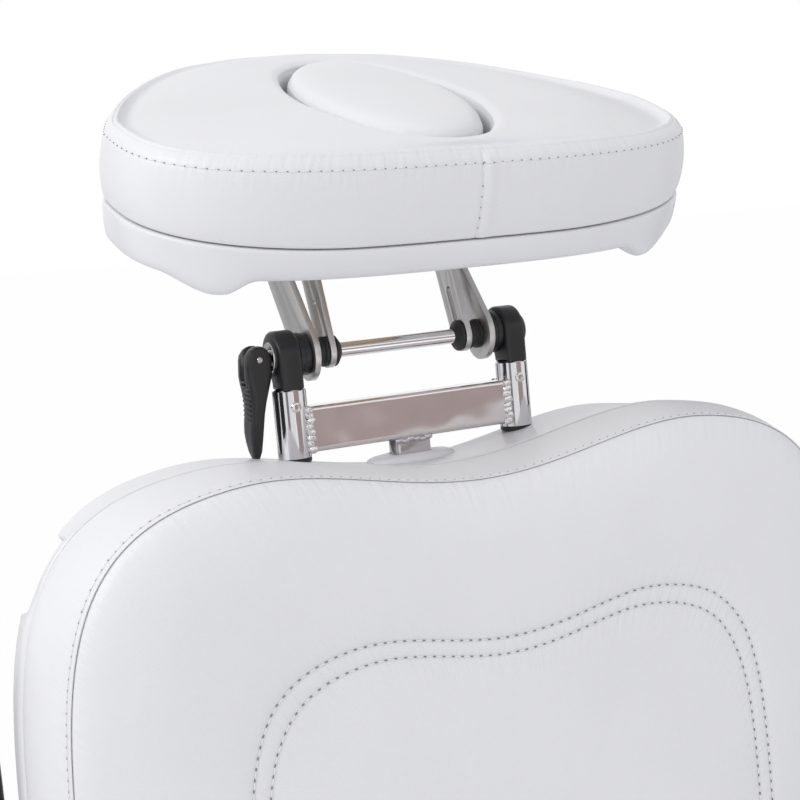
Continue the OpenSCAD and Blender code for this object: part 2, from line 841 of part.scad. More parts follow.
module back_crank() {
    turn = -90 + back_crank_mid + back_recline;
    root = [[hinge_rise + rail_front, bar_heights[0]],
        [hinge_rise + rail_front + bar_t, bar_heights[0]]];
    color("lightgray") in_back() translate([drive_x - crank_t / 2, 0, 0]) rotate([90, 0, 90])
        linear_extrude(crank_t) crank_shape(back_crank_h, back_crank_mid + back_travel_up,
            turn, [-hinge_rise, 0], root);
}

module hinge_pins() {
    both_sides() translate([rail_x - ear_t - ear_gap, 0, 0]) rotate([0, 90, 0])
        cylinder(r = hinge_pin_r, h = 2 * ear_t + 3 * ear_gap, $fn = fine);
}

module back_hinge_pins() {
    color("silver") in_back() translate([0, -hinge_rise, 0]) hinge_pins();
}

arm_pivot_y = rail_front + rail_d / 2;
arm_pin_r = 8;
hub_r = 15;

module arm_brackets() {
    from = rail_x + rail_w / 2;
    to = side_x - seat_gap;
    color("lightgray") in_back() both_sides() union() {
        translate([from, rail_front, arm_pivot_z - rail_d / 2])
            cube([to - from, rail_d, rail_d]);
        translate([to, arm_pivot_y, arm_pivot_z]) rotate([0, 90, 0])
            cylinder(r = arm_pin_r, h = arm_pad_w - 2 * wall_t, $fn = fine);
    }
}

bar_flat_w = 30;
bar_flat_t = 8;

module armrest_bar(side) {
    len = hub_r + arm_pad_len - 2 * bar_flat_w;
    color("dimgray") in_back() mirror([side, 0, 0])
        translate([side_x, arm_pivot_y, arm_pivot_z]) difference() {
            union() {
                rotate([0, 90, 0]) cylinder(r = hub_r, h = arm_pad_w, $fn = fine);
                translate([(arm_pad_w - bar_flat_w) / 2, -hub_r, 0])
                    cube([bar_flat_w, bar_flat_t, len]);
            }
            translate([-cut, 0, 0]) rotate([0, 90, 0]) cylinder(r = arm_pin_r + run_gap,
                h = arm_pad_w - 2 * wall_t + cut, $fn = fine);
        }
}
module armrest_bar_left() { armrest_bar(1); }
module armrest_bar_right() { armrest_bar(0); }

// Padded top of an armrest as inset and height shares
arm_shares = [[0.35, 0], [0.05, 0.14], [-0.02, 0.45], [0.03, 0.75], [0.3, 0.93], [0.9, 1]];
module armrest_pad(side) {
    soft = arm_pad_t * 0.3;
    color("dimgray") in_back() mirror([side, 0, 0])
        translate([side_x + arm_pad_w / 2, arm_pivot_y - hub_r + bar_flat_t,
                arm_pivot_z + hub_r + wall_t])
            rotate([90, 0, 180]) loft([for (w = arm_shares)
                lift(stadium(arm_pad_w / 2, arm_pad_len, soft * w[0]), arm_pad_t * w[1])]);
}
module armrest_pad_left() { armrest_pad(1); }
module armrest_pad_right() { armrest_pad(0); }

// Seat
seat_low = leg_hinge_y + seat_front_gap;
seat_high = back_hinge_y - seat_rear_gap;

module seat_cushion() {
    color("whitesmoke") translate([0, 0, deck_z])
        loft(cushion_rings(seat_half_w, seat_low, seat_high, seat_round, channel_inset));
}

module seat_shell() {
    color("white") translate([0, 0, deck_z])
        pan(seat_half_w, seat_low, seat_high, seat_round);
}

rail_from = leg_hinge_y + ear_r + ear_clear;
rail_to = back_hinge_y - ear_r - ear_clear;

module seat_rails() {
    x = rail_x + ear_gap;
    ear_in = seat_rear_gap - edge_out - ear_clear;
    reach = ear_r + ear_clear + ear_reach;
    color("lightgray") both_sides() union() {
        translate([rail_x - rail_w / 2, rail_from, rail_low])
            cube([rail_w, rail_to - rail_from, rail_h]);
        translate([0, back_hinge_y, deck_z]) ear(x, [0, hinge_rise], [[ear_r, hinge_rise],
            [-ear_in, hinge_rise], [-ear_in, -pan_d], [-reach, -pan_d],
            [-reach, -pan_d - rail_h], [0, -pan_d - rail_h], [ear_r, -pan_d]]);
        translate([0, leg_hinge_y, deck_z - hinge_sink]) ear(x, [0, 0], [[0, ear_r], [0, -ear_r],
            [reach, -ear_r], [reach, ear_r]]);
    }
}

bar_front = -150;
bar_rear = 60;
module seat_crossbars() {
    color("lightgray") for (y = [bar_front, bar_rear])
        translate([-rail_x + rail_w / 2, column_y + y, rail_low])
            cube([2 * rail_x - rail_w, bar_h, rail_h]);
}

module column_head_plate() {
    len = bar_rear - bar_front + bar_h;
    w = column_w - 4 * column_wall - 4 * column_gap;
    color("lightgray") translate([-w / 2, column_y + bar_front, head_plate_z])
        cube([w, len, head_plate_t]);
}

// Lift column: three square tubes and the drive inside them
stage_step = 25;
stage_show = 15;
outer_top = plate_z + outer_len;
middle_low = plate_z + stage_step;
middle_top = outer_top + stage_show;
top_low = middle_low + stage_step;

module square_tube(w, low, high) {
    inner = w - 2 * column_wall;
    translate([0, column_y, low]) difference() {
        translate([-w / 2, -w / 2, 0]) cube([w, w, high - low]);
        translate([-inner / 2, -inner / 2, -cut]) cube([inner, inner, high - low + 2 * cut]);
    }
}

module column_outer_tube() {
    color("white") square_tube(column_w, plate_z, outer_top);
}
module column_middle_tube() {
    color("silver") square_tube(column_w - 2 * column_wall - 2 * column_gap, middle_low, middle_top);
}
module column_top_tube() {
    color("silver") square_tube(column_w - 4 * column_wall - 4 * column_gap, top_low, head_plate_z);
}

lift_r = 26;
lift_rod_r = 12;
lift_spare = 30;
lift_floor = 8;
lift_lift = 2;
lift_top = plate_z + 2 * stage_travel + lift_spare;

module lift_actuator() {
    color("dimgray") translate([0, column_y, plate_z]) difference() {
        cylinder(r = lift_r, h = lift_top - plate_z, $fn = fine);
        translate([0, 0, lift_floor])
            cylinder(r = lift_rod_r + run_gap, h = lift_top, $fn = fine);
    }
}

module lift_rod() {
    from = plate_z + lift_floor + lift_lift;
    color("silver") translate([0, column_y, from])
        cylinder(r = lift_rod_r, h = head_plate_z - from, $fn = fine);
}

// Linear drives under the seat
back_pin_share = 1.15;
leg_pin_share = 1.11;
back_pin_y = back_hinge_y + back_crank_h * back_pin_share * back_crank_mid * PI / 180;
leg_pin_y = leg_hinge_y + leg_crank_h * leg_pin_share * leg_crank_mid * PI / 180;
drive_z = deck_z - drive_drop;
back_drive_reach = 425;
back_drive_front = back_hinge_y - back_drive_reach;
leg_drive_front = column_y + bar_front;
back_rod_stand = 190;
leg_rod_stand = 120;

// Housing of a drive along y from its closed end, motor below, saddle up to the front crossbar
module drive_housing(x, low_y, closed_front) {
    motor_y = closed_front ? motor_r + wall_t : drive_len - motor_r - wall_t;
    bore_from = closed_front ? drive_floor : -cut;
    translate([x, low_y, drive_z]) rotate([-90, 0, 0]) difference() {
        cylinder(r = drive_r, h = drive_len, $fn = fine);
        translate([0, 0, bore_from]) cylinder(r = drive_rod_r + run_gap,
            h = drive_len - drive_floor + cut, $fn = fine);
    }
    translate([x - drive_r / 2, column_y + bar_front, drive_z + drive_r - drive_seat])
        cube([drive_r, bar_h, rail_low - drive_z - drive_r + drive_seat]);
    translate([x, low_y + motor_y, drive_z - drive_r - motor_len])
        cylinder(r = motor_r, h = motor_len + drive_seat * 2, $fn = fine);
}

module back_actuator() {
    color("dimgray") union() drive_housing(drive_x, back_drive_front, true);
}

module leg_actuator() {
    color("dimgray") union() drive_housing(-drive_x, leg_drive_front, false);
}

// Push rod with a fork round the crank and a cross pin in the crank's slot
module push_rod(x, pin_y, tail_y, way, h, a) {
    fork_in = crank_t / 2 + seat_gap;
    neck = pin_y - way * (slot_out(h, a) - slot_in(h) + crank_rim);
    tip = pin_y + way * crank_pin_r * 1.5;
    translate([x, 0, drive_z]) union() {
        translate([0, min(tail_y, neck), 0]) rotate([-90, 0, 0])
            cylinder(r = drive_rod_r, h = abs(neck - tail_y), $fn = fine);
        translate([-fork_in - fork_t, min(neck, neck - way * fork_t), -drive_rod_r])
            cube([2 * (fork_in + fork_t), fork_t, 2 * drive_rod_r]);
        for (s = [-1, 1])
            translate([s > 0 ? fork_in : -fork_in - fork_t, min(neck, tip), -drive_rod_r])
                cube([fork_t, abs(tip - neck), 2 * drive_rod_r]);
        translate([-fork_in - fork_t, pin_y, 0]) rotate([0, 90, 0])
            cylinder(r = crank_pin_r, h = 2 * (fork_in + fork_t), $fn = fine);
    }
}

module back_actuator_rod() {
    color("silver") push_rod(drive_x, back_pin_y, back_drive_front + drive_floor + back_rod_stand, 1,
        back_crank_h, back_crank_mid + back_travel_up);
}

module leg_actuator_rod() {
    color("silver") push_rod(-drive_x, leg_pin_y, leg_drive_front + leg_rod_stand, -1,
        leg_crank_h, leg_crank_mid);
}

// Leg rest
leg_near = seat_front_gap;

module leg_cushion() {
    color("whitesmoke") in_leg()
        loft(cushion_rings(leg_half_w, -leg_near - leg_len, -leg_near, leg_round, channel_inset));
}

module leg_shell() {
    color("white") in_leg() pan(leg_half_w, -leg_near - leg_len, -leg_near, leg_round);
}

leg_rail_len = 380;
module leg_rails() {
    from = ear_r + ear_clear;
    reach = from + ear_reach;
    color("lightgray") in_leg() both_sides() union() {
        translate([rail_x - rail_w / 2, -from - leg_rail_len, -pan_d - rail_d])
            cube([rail_w, leg_rail_len, rail_d]);
        translate([0, 0, -hinge_sink]) ear(rail_x - ear_t, [0, 0], [[0, ear_r], [-reach, ear_r],
            [-reach, -ear_r / 2], [0, -ear_r]]);
    }
}

leg_bar_y = 66;
leg_bar_t = 14;
module leg_crank() {
    turn = -90 + leg_crank_mid - leg_drop;
    under = hinge_sink - pan_d - leg_bar_t / 2;
    root = [[-leg_bar_y - bar_h / 2, under], [-leg_bar_y, under]];
    color("lightgray") in_leg() union() {
        translate([-rail_x + rail_w / 2, -leg_bar_y - bar_h, -pan_d - leg_bar_t])
            cube([2 * rail_x - rail_w, bar_h, leg_bar_t]);
        translate([-drive_x - crank_t / 2, 0, -hinge_sink]) rotate([90, 0, 90])
            linear_extrude(crank_t) crank_shape(leg_crank_h, leg_crank_mid, turn, [0, 0], root);
    }
}

module leg_hinge_pins() {
    color("silver") in_leg() translate([0, 0, -hinge_sink]) hinge_pins();
}

// Base
cover_in = 12;
cover_slope = 46;
cover_corner = 60;
cover_gap = 2;

module base_block(inset, z, h) {
    x = base_w / 2 - inset - cover_corner;
    y = base_len / 2 - inset - cover_corner;
    for (i = [-1, 1], j = [-1, 1]) translate([i * x, column_y + j * y, z])
        cylinder(r = cover_corner, h = h, $fn = small_steps);
}

module base_plate() {
    color("gray") hull() base_block(0, foot_h, base_plate_t);
}

inlet_w = 48;
inlet_h = 28;
inlet_d = 22;
inlet_rise = 8;
inlet_z = plate_z + inlet_rise;
socket_hole_r = 9;
handset_rise = 14;
handset_z = plate_z + handset_rise;

module base_cover() {
    hole = column_w + 2 * cover_gap;
    color("white") difference() {
        hull() {
            base_block(cover_in, plate_z, cover_h * 0.5);
            base_block(cover_in + cover_slope, plate_z + cover_h - cut, cut);
        }
        hull() {
            base_block(cover_in + wall_t, plate_z - cut, cover_h * 0.5);
            base_block(cover_in + cover_slope + wall_t, plate_z + cover_h - wall_t - cut, cut);
        }
        translate([-hole / 2, column_y - hole / 2, plate_z])
            cube([hole, hole, cover_h + cut]);
        translate([-inlet_w / 2, column_y + base_len / 2 - cover_in - inlet_d, inlet_z])
            cube([inlet_w, inlet_d + cut, inlet_h]);
        translate([base_w / 2 - cover_in - 2 * wall_t, column_y, handset_z])
            rotate([0, 90, 0]) cylinder(r = socket_hole_r, h = 4 * wall_t, $fn = small_steps);
    }
}

module mains_inlet() {
    depth = inlet_d + wall_t;
    y = column_y + base_len / 2 - cover_in - inlet_d;
    color("dimgray") translate([-inlet_w / 2 + seat_gap, y, inlet_z + seat_gap]) difference() {
        cube([inlet_w - 2 * seat_gap, depth, inlet_h - 2 * seat_gap]);
        translate([wall_t * 3, wall_t, wall_t]) cube([inlet_w - 2 * seat_gap - 6 * wall_t,
            depth, inlet_h - 2 * seat_gap - 2 * wall_t]);
    }
}

module handset_socket() {
    r = socket_hole_r - seat_gap;
    color("dimgray") translate([base_w / 2 - cover_in - 4 * wall_t, column_y, handset_z])
        rotate([0, 90, 0]) difference() {
            cylinder(r = r, h = 5 * wall_t, $fn = fine);
            translate([0, 0, 2 * wall_t]) cylinder(r = r - wall_t / 2, h = 4 * wall_t, $fn = fine);
        }
}

module levelling_feet() {
    x = base_w / 2 - cover_corner;
    y = base_len / 2 - cover_corner;
    color("dimgray") for (i = [-1, 1], j = [-1, 1])
        translate([i * x, column_y + j * y, 0]) cylinder(r = foot_r, h = foot_h, $fn = fine);
}

headrest_cushion();
headrest_tray();
arm_mount_strips();
inner_arms();
outer_arms();
arm_spacers();
plug_cushion();
plug_board();
tilt_rod();
rod_bumpers();
clamp_collars();
elbow_joints();
cam_washer();
rod_end_nut();
socket_tubes();
socket_end_caps();
socket_set_screws();
cross_tube();
weld_beads();
mast();
cam_lever();
cam_lever_pin();
back_cushion();
back_shell();
mast_grommet();
mast_receiver();
back_rails();
back_crossbars();
back_crank();
arm_brackets();
back_hinge_pins();
armrest_bar_left();
armrest_bar_right();
armrest_pad_left();
armrest_pad_right();
seat_cushion();
seat_shell();
seat_rails();
seat_crossbars();
column_head_plate();
column_top_tube();
lift_rod();
back_actuator();
leg_actuator();
back_actuator_rod();
leg_actuator_rod();
leg_cushion();
leg_shell();
leg_rails();
leg_crank();
leg_hinge_pins();
column_middle_tube();
column_outer_tube();
base_plate();
base_cover();
levelling_feet();
lift_actuator();
mains_inlet();
handset_socket();
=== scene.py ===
"""Looks of the beauty treatment chair: leather, stitching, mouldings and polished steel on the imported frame."""

from __future__ import annotations

import logging
from bisect import bisect_right
from dataclasses import dataclass, field
from enum import Enum
from math import acos, atan2, copysign, cos, exp, pi, radians, sin, sqrt
from typing import Callable, Sequence

import bmesh
import bpy
from mathutils import Matrix, Vector, noise

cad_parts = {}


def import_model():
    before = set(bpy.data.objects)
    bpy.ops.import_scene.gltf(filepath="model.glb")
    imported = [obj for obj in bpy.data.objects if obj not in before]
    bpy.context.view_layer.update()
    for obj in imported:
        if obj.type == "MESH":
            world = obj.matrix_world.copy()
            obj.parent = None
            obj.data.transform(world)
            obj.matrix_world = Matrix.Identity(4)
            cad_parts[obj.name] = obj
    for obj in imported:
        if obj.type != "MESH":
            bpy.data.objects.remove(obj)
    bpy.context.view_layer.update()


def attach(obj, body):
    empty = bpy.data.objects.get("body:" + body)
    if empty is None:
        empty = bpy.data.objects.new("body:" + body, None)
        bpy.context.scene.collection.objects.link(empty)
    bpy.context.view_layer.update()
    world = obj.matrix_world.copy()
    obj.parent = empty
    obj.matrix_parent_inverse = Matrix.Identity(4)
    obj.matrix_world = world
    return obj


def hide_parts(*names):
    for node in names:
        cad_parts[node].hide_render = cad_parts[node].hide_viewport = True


LOG = logging.getLogger("beauty_chair")
MM = 0.001
FULL = 2 * pi
SMOOTH = 80  # leather shades smooth up to this angle
BORE = 5.1  # radius of the bores round the tilt rod
PAN = -27  # depth of the shells' floors
AXES = {"X": Vector((1, 0, 0)), "Y": Vector((0, 1, 0)), "Z": Vector((0, 0, 1))}
Ring = list[Vector]
Profile = Sequence[tuple[float, float]]
Socket, Piece = bpy.types.NodeSocket, bpy.types.Object
Vert, Edge = bmesh.types.BMVert, bmesh.types.BMEdge


def moved(x: float, y: float, z: float) -> Matrix:
    """A shift in millimetres."""
    return Matrix.Translation((x, y, z))


def turned(degrees: float, axis: str = "X") -> Matrix:
    """A turn about one axis."""
    return Matrix.Rotation(radians(degrees), 4, axis)


BACK_HINGE = moved(0, 190.4, 568) @ turned(-12)
HINGE_TO_PANEL = 28


class Place(Enum):
    """The frames of the chair's moving groups, in millimetres."""

    FLOOR = Matrix.Identity(4)
    SEAT = moved(0, 0, 540)
    BACK = BACK_HINGE @ moved(0, HINGE_TO_PANEL, 0)
    PANEL = BACK @ turned(90)
    MAST = BACK_HINGE @ moved(0, HINGE_TO_PANEL + 55, 712)
    ROD = BACK_HINGE @ moved(0, HINGE_TO_PANEL + 61.7, 760.2)
    HEAD = ROD @ turned(20)
    LEG = moved(0, -349.6, 493) @ turned(70) @ moved(0, 0, 47)


class Side(Enum):
    """The sitter's side of the chair, as the sign of x."""

    LEFT = -1
    RIGHT = 1


# ---- finishes ----


class Nodes:
    """Short calls for the node tree of a material or a world."""

    def __init__(self, owner: bpy.types.ID) -> None:
        """Opens the node tree.

        Args:
            owner: A new material or world.
        """
        owner.use_nodes = True
        self.owner, self.tree = owner, owner.node_tree
        self.shader = self.tree.nodes.get("Principled BSDF")

    def add(self, kind: str, **values: object) -> bpy.types.Node:
        """Adds a node.

        Args:
            kind: The node's type, without its ShaderNode prefix.
            values: Input values by socket name with _ for blanks, or node properties.

        Returns:
            The new node.
        """
        node = self.tree.nodes.new("ShaderNode" + kind)
        for key, value in values.items():
            socket = node.inputs.get(key.replace("_", " "))
            if socket is not None:
                socket.default_value = value
            else:
                setattr(node, key, value)
        return node

    def join(self, out: Socket, into: Socket) -> None:
        """Links two sockets."""
        self.tree.links.new(out, into)

    def noise(self, scale: float, detail: float = 2, stretch: Sequence[float] = (1, 1, 1)) -> Socket:
        """Noise on object coordinates, stretched along an axis where asked.

        Args:
            scale: Cells per metre.
            detail: Octaves.
            stretch: Scale of the coordinates along x, y and z.

        Returns:
            The noise's value socket.
        """
        place = self.add("TexCoord").outputs["Object"]
        if tuple(stretch) != (1, 1, 1):
            mapping = self.add("Mapping", Scale=stretch)
            self.join(place, mapping.inputs["Vector"])
            place = mapping.outputs["Vector"]
        node = self.add("TexNoise", Scale=scale, Detail=detail)
        self.join(place, node.inputs["Vector"])
        return node.outputs["Fac"]

    def cells(self, scale: float) -> Socket:
        """Distance to the nearest cell point, for pebbled grain.

        Args:
            scale: Cells per metre.

        Returns:
            The distance's socket.
        """
        node = self.add("TexVoronoi", Scale=scale)
        self.join(self.add("TexCoord").outputs["Object"], node.inputs["Vector"])
        return node.outputs["Distance"]

    def ramp(self, out: Socket, low: float, high: float, a: float = 0.2, b: float = 0.8) -> Socket:
        """Maps a value's range a..b to low..high.

        Args:
            out: The value's socket.
            low: Result at a.
            high: Result at b.
            a: Start of the range.
            b: End of the range.

        Returns:
            The result's socket.
        """
        node = self.add("MapRange", clamp=True)
        for name, value in (("From Min", a), ("From Max", b), ("To Min", low), ("To Max", high)):
            node.inputs[name].default_value = value
        self.join(out, node.inputs["Value"])
        return node.outputs["Result"]

    def tint(self, out: Socket, one: Sequence[float], two: Sequence[float]) -> None:
        """Mottles the base colour between two colours by a value.

        Args:
            out: The value's socket.
            one: Colour at 0.
            two: Colour at 1.
        """
        node = self.add("Mix", data_type="RGBA")
        node.inputs[6].default_value = (*one, 1)
        node.inputs[7].default_value = (*two, 1)
        self.join(self.ramp(out, 0, 1), node.inputs[0])
        self.join(node.outputs[2], self.shader.inputs["Base Color"])

    def gloss(self, out: Socket, low: float, high: float) -> None:
        """Spreads the roughness by a value."""
        self.join(self.ramp(out, low, high), self.shader.inputs["Roughness"])

    def blend(self, share: Socket, one: Socket, two: Socket, output: str) -> None:
        """Mixes two shaders by a value into the named output node.

        Args:
            share: The value's socket.
            one: Shader at 0.
            two: Shader at 1.
            output: The output node's name.
        """
        mix = self.add("MixShader")
        for source, into in zip((share, one, two), mix.inputs):
            self.join(source, into)
        self.join(mix.outputs[0], self.tree.nodes[output].inputs["Surface"])

    def bump(self, heights: Sequence[tuple[Socket, float]]) -> None:
        """Chains bumps into the shader's normal, each a height socket and its depth in metres.

        Args:
            heights: Height sockets with their depths.
        """
        last = None
        for out, depth in heights:
            node = self.add("Bump", Strength=1, Distance=depth)
            self.join(out, node.inputs["Height"])
            if last is not None:
                self.join(last, node.inputs["Normal"])
            last = node.outputs["Normal"]
        if last is not None:
            self.join(last, self.shader.inputs["Normal"])

    def plain(self, **values: object) -> None:
        """Sets the shader's own sockets, by name with _ for blanks."""
        for key, value in values.items():
            self.shader.inputs[key.replace("_", " ")].default_value = value


@dataclass(frozen=True)
class Finish:
    """A named finish; its material is made once."""

    name: str
    slot: str
    colour: tuple[float, float, float]
    roughness: float

    def build(self, nodes: Nodes) -> None:
        """Wires the finish's nodes."""
        nodes.plain(Base_Color=(*self.colour, 1), Roughness=self.roughness)

    def worn(self, nodes: Nodes, patches: Socket, fade: float, smudges: Socket, less: float, more: float) -> None:
        """Fades the colour in patches and changes the gloss in smudges."""
        nodes.tint(patches, self.colour, tuple(c * fade for c in self.colour))
        nodes.gloss(smudges, self.roughness - less, self.roughness + more)

    def material(self) -> bpy.types.Material:
        """The finish's material, made at first use.

        Returns:
            The material.
        """
        found = bpy.data.materials.get(self.name)
        if found is None:
            found = bpy.data.materials.new(self.name)
            self.build(Nodes(found))
        return found


@dataclass(frozen=True)
class Leather(Finish):
    """Coated upholstery leather with fine pebbled grain, and puckers where the seam attribute is strong."""

    shade: tuple[float, float, float] = (0.78, 0.78, 0.79)
    grain: float = 0.00006
    pucker: float = 0.0009

    def build(self, nodes: Nodes) -> None:
        """Grain, soft creases, seam puckers and a faint mottling.

        Args:
            nodes: The material's nodes.
        """
        nodes.tint(nodes.noise(7, 3), self.colour, self.shade)
        nodes.gloss(nodes.noise(420, 3), self.roughness - 0.05, self.roughness + 0.07)
        seam = nodes.add("Attribute", attribute_name="seam").outputs["Fac"]
        along = nodes.add("UVMap")
        stretch = nodes.add("Mapping", Scale=(190, 26, 1))
        nodes.join(along.outputs["UV"], stretch.inputs["Vector"])
        folds = nodes.add("TexNoise", Scale=1, Detail=2)
        nodes.join(stretch.outputs["Vector"], folds.inputs["Vector"])
        pull = nodes.add("Math", operation="MULTIPLY")
        nodes.join(folds.outputs["Fac"], pull.inputs[0])
        nodes.join(seam, pull.inputs[1])
        nodes.bump([(pull.outputs[0], self.pucker), (nodes.noise(60, 4), 0.00035),
                    (nodes.cells(900), self.grain), (nodes.noise(2600, 2), self.grain / 2)])
        nodes.plain(Specular_IOR_Level=0.42, Coat_Weight=0.06, Coat_Roughness=0.32)


@dataclass(frozen=True)
class Plastic(Finish):
    """Moulded plastic with a fine spark-eroded texture."""

    texture: float = 0.00003
    wave: float = 0

    def build(self, nodes: Nodes) -> None:
        """Fine texture and slight gloss changes.

        Args:
            nodes: The material's nodes.
        """
        self.worn(nodes, nodes.noise(14, 3), 0.97, nodes.noise(12, 2), 0.03, 0.03)
        heights = [(nodes.noise(2200, 2), self.texture)]
        if self.wave:
            heights.insert(0, (nodes.noise(30, 1), self.wave))
        nodes.bump(heights)


@dataclass(frozen=True)
class Metal(Finish):
    """Polished, brushed or cast metal: streaks along an axis, smudges and soft waves."""

    streak: tuple[float, float, float] = (1, 1, 1)
    streak_depth: float = 0
    wave: float = 0
    wave_scale: float = 18
    spread: float = 0.05

    def build(self, nodes: Nodes) -> None:
        """Streaks, smudges and waves in the gloss and the bump.

        Args:
            nodes: The material's nodes.
        """
        self.worn(nodes, nodes.noise(9, 3), 0.94, nodes.noise(55, 4, self.streak), 0, self.spread)
        nodes.plain(Metallic=1)
        heights = []
        if self.wave:
            heights.append((nodes.noise(self.wave_scale, 1), self.wave))
        if self.streak_depth:
            heights.append((nodes.noise(700, 3, self.streak), self.streak_depth))
        nodes.bump(heights)


@dataclass(frozen=True)
class Paint(Finish):
    """Powder coat with a slight orange peel."""

    peel: float = 0.00012

    def build(self, nodes: Nodes) -> None:
        """Orange peel and soft gloss changes."""
        self.worn(nodes, nodes.noise(11, 3), 0.96, nodes.noise(12, 2), 0.03, 0.03)
        nodes.bump([(nodes.noise(420, 2), self.peel)])


@dataclass(frozen=True)
class Wood(Finish):
    """Plywood: pale face veneer with darker grain lines."""

    def build(self, nodes: Nodes) -> None:
        """Grain lines along y.

        Args:
            nodes: The material's nodes.
        """
        grain = nodes.noise(60, 5, (1, 0.08, 1))
        nodes.tint(grain, self.colour, tuple(c * 0.6 for c in self.colour))
        nodes.bump([(grain, 0.0002)])
        nodes.plain(Roughness=self.roughness)


WHITE_LEATHER = Leather("white leather", "white_leather", (0.83, 0.83, 0.845), 0.43)
BLACK_LEATHER = Leather("black leather", "black_leather", (0.018, 0.018, 0.02), 0.36, shade=(0.013, 0.013, 0.015),
                        grain=0.00009)
WHITE_PLASTIC = Plastic("white moulding", "white_plastic", (0.80, 0.80, 0.82), 0.32, wave=0.00005)
BLACK_PLASTIC = Plastic("black moulding", "black_plastic", (0.011, 0.011, 0.013), 0.36, texture=0.00005)
BLACK_RUBBER = Plastic("black rubber", "black_rubber", (0.016, 0.016, 0.017), 0.58, texture=0.00006)
CHROME = Metal("chrome", "chrome_steel", (0.84, 0.83, 0.84), 0.05, wave=0.0004, wave_scale=14)
# Painted shade: the same chrome, darkened for the socket tubes.
SOCKET_CHROME_SHADED = Metal("chrome of the socket tubes", "chrome_steel", (0.70, 0.69, 0.71), 0.06, wave=0.0004,
                      wave_scale=14)
# Painted reflection: the same chrome tinted pink for the cross tube, for the pinkish surroundings that it reflects.
CROSS_CHROME_PINK_REFLECTION = Metal("chrome of the cross tube", "chrome_steel", (0.82, 0.77, 0.77), 0.09, wave=0.0018,
                     wave_scale=26, spread=0.08)
# Painted shade: the same chrome, darkened further for the mast.
MAST_CHROME_SHADED = Metal("chrome of the mast", "chrome_steel", (0.58, 0.56, 0.58), 0.12, wave=0.0012, wave_scale=60)
# Painted reflection: the same chrome, tinted faintly pink and a little darker for the welds.
WELD_CHROME_PINK_REFLECTION = Metal("chrome on the welds", "chrome_steel", (0.82, 0.80, 0.80), 0.10, wave=0.0012, wave_scale=400)
BRIGHT_STEEL = Metal("brushed steel", "bright_steel", (0.64, 0.63, 0.62), 0.33, streak=(1, 0.06, 0.06),
                     streak_depth=0.00006, spread=0.12)
SCREW_STEEL = Metal("bright screws", "bright_steel", (0.75, 0.74, 0.73), 0.16, spread=0.1)
WHITE_STEEL = Paint("white powder coat", "white_steel", (0.74, 0.74, 0.75), 0.38)
BLACK_STEEL = Paint("black powder coat", "black_steel", (0.02, 0.02, 0.022), 0.40)
GREY_STEEL = Paint("grey powder coat", "grey_steel", (0.17, 0.175, 0.18), 0.42)
COLUMN_ALU = Metal("anodised column", "column_alu", (0.70, 0.71, 0.72), 0.32, streak=(1, 1, 0.04),
                   streak_depth=0.00005, spread=0.1)
PLYWOOD = Wood("plywood", "plywood", (0.52, 0.36, 0.20), 0.55)
THREAD = Plastic("white thread", "white_leather", (0.84, 0.84, 0.86), 0.6, texture=0)
# Painted shade: dark colours for the shade in the needle holes and, paler, under the edge topstitch.
NEEDLE_HOLE_SHADE = Plastic("shade in the needle holes", "white_leather", (0.22, 0.22, 0.25), 0.7, texture=0)
TOPSTITCH_SHADE = Plastic("shade under the topstitch", "white_leather", (0.46, 0.46, 0.49), 0.7, texture=0)


# ---- outlines ----


class Outline:
    """A closed outline in its own x, y plane, as a function of inset and angle."""

    def at(self, inset: float, turn: float) -> tuple[float, float]:
        """The outline's point at an angle, drawn in by inset."""
        raise NotImplementedError

    def turns(self, steps: int, extra: Sequence[float] = ()) -> list[float]:
        """Angles that space the outline's points evenly.

        Args:
            steps: How many points.
            extra: Further angles to put in.

        Returns:
            The angles, rising from 0.
        """
        fine = 1440
        points = [Vector(self.at(0, FULL * i / fine)) for i in range(fine + 1)]
        run = [0]
        for a, b in zip(points, points[1:]):
            run.append(run[-1] + (b - a).length)
        found = []
        for k in range(steps):
            want = run[-1] * k / steps
            i = min(bisect_right(run, want) - 1, fine - 1)
            share = (want - run[i]) / max(run[i + 1] - run[i], 1e-9)
            found.append(FULL * (i + share) / fine)
        return sorted(found + list(extra))

    def ring(self, turns: Sequence[float], inset: float, z: float) -> Ring:
        """The outline as points at a height."""
        return [Vector((*self.at(inset, t), z)) for t in turns]


@dataclass(frozen=True)
class PanelOutline(Outline):
    """Rounded panel, with a dip in its upper edge between two humps."""

    half_w: float
    low: float
    high: float
    low_round: float
    high_round: float
    out_share: float = 1
    in_share: float = 1
    dip: float = 0
    hump: float = 1

    def at(self, inset: float, turn: float) -> tuple[float, float]:
        """The outline's point at an angle, drawn in by inset.

        Args:
            inset: How far the point is drawn in.
            turn: The angle in radians.

        Returns:
            Its x and y.
        """
        c, s = cos(turn), sin(turn)
        top = s > 0
        a = self.half_w - inset
        share = (self.out_share if inset < 0 else self.in_share) if top else 1
        b = (self.high - self.low) / 2 - inset * share
        n = self.high_round if top else self.low_round
        r = ((abs(c) / a) ** n + (abs(s) / b) ** n) ** (-1 / n)
        x, y = r * c, r * s
        k = self.hump * a / self.half_w
        if top and abs(x) < k:
            y -= self.dip * a / self.half_w * cos(pi / 2 * x / k) ** 2
        return x, (self.low + self.high) / 2 + y


